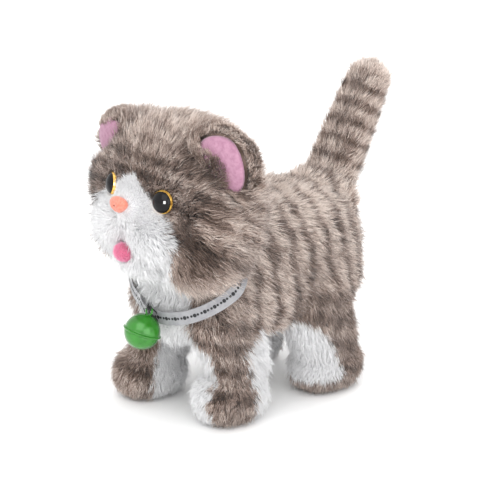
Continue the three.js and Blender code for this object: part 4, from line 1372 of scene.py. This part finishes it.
CAD_LOOKS = {
    # slot: light, dark, roughness, metallic, noise scale, bump
    "shell_plastic": ((222, 220, 213), (206, 204, 197), 0.5, 0.0, 60, 0.15),
    "frame_plastic": ((236, 234, 228), (220, 218, 212), 0.45, 0.0, 60, 0.12),
    "gear_plastic": ((242, 238, 226), (226, 220, 206), 0.4, 0.0, 90, 0.1),
    "steel": ((196, 198, 202), (150, 152, 156), 0.3, 1.0, 400, 0.1),
    "tinned": ((212, 212, 208), (170, 170, 166), 0.25, 1.0, 400, 0.1),
    "motor_can": ((176, 178, 182), (140, 142, 146), 0.35, 0.9, 300, 0.1),
    "board": ((58, 120, 70), (36, 92, 50), 0.5, 0.0, 200, 0.1),
    "speaker": ((48, 48, 52), (26, 26, 29), 0.75, 0.0, 500, 0.3),
    "knob": ((52, 52, 55), (34, 34, 37), 0.5, 0.0, 500, 0.2),
    "cell_jacket": ((72, 80, 92), (50, 56, 66), 0.35, 0.2, 120, 0.05),
}


def finish_cad_nodes():
    slots = {s["node"]: s["material_slot"] for s in frame["record"]["subparts"]}
    made = {}
    for name, obj in frame["nodes"].items():
        if obj.hide_render:
            continue
        slot = slots.get(name)
        if slot not in CAD_LOOKS:
            continue
        if slot not in made:
            light, dark, rough, metal, scale, bump = CAD_LOOKS[slot]
            mat = new_material(f"cad_{slot}", srgb(*light), rough, metal)
            mottled(mat, srgb(*light), srgb(*dark), float(scale))
            bumpy(mat, scale * 12.0, bump, 0.0001)
            made[slot] = mat
        if obj.material_slots:
            for place in obj.material_slots:
                place.material = made[slot]
        else:
            obj.data.materials.append(made[slot])


finish_cad_nodes()

# ------------------------------------------------------------------ floor, light and camera


def area_light(name, energy, size, azimuth, elevation, distance):
    lamp = bpy.data.lights.new(name, "AREA")
    lamp.energy, lamp.size = energy, size
    obj = link_object(name, lamp)
    away = direction(azimuth, elevation)
    obj.location = Vector((0, 0, 0.08)) + away * distance
    obj.rotation_euler = (-away).to_track_quat("-Z", "Y").to_euler()
    return obj


def make_stage():
    scene = bpy.context.scene
    world = bpy.data.worlds.new("studio")
    world.use_nodes = True
    world.node_tree.nodes["Background"].inputs["Color"].default_value = (1, 1, 1, 1)
    world.node_tree.nodes["Background"].inputs["Strength"].default_value = 1.27
    scene.world = world
    scene.view_settings.view_transform = "Standard"
    floor_mat = new_material("floor_paper", (0.93, 0.93, 0.93), 0.9)
    mottled(floor_mat, (0.94, 0.94, 0.94), (0.92, 0.92, 0.92), 3.0)
    half = 12.0
    mesh = bpy.data.meshes.new("floor")
    mesh.from_pydata([(-half, -half, 0), (half, -half, 0), (half, half, 0), (-half, half, 0)], [],
                     [(0, 1, 2, 3)])
    mesh.materials.append(floor_mat)
    link_object("floor", mesh)
    lamps = [area_light(**light) for light in LIGHTS]
    # The last light falls on the eyes alone.
    shiny = bpy.data.collections.new("caught")
    for _, word in SIDES:
        shiny.objects.link(bpy.data.objects[f"eye_{word}_dome"])
    lamps[-1].light_linking.receiver_collection = shiny


def make_camera():
    away = direction(CAMERA["azimuth"], CAMERA["elevation"])
    data = bpy.data.cameras.new("camera")
    data.sensor_width = 36
    data.lens = CAMERA["lens"]
    data.clip_start, data.clip_end = 0.05, 60
    cam = link_object("camera", data)
    cam.location = Vector(CAMERA["target"]) + away * CAMERA["distance"]
    cam.rotation_mode = "QUATERNION"
    cam.rotation_quaternion = (-away).to_track_quat("-Z", "Y")
    bpy.context.scene.camera = cam


make_stage()
make_camera()
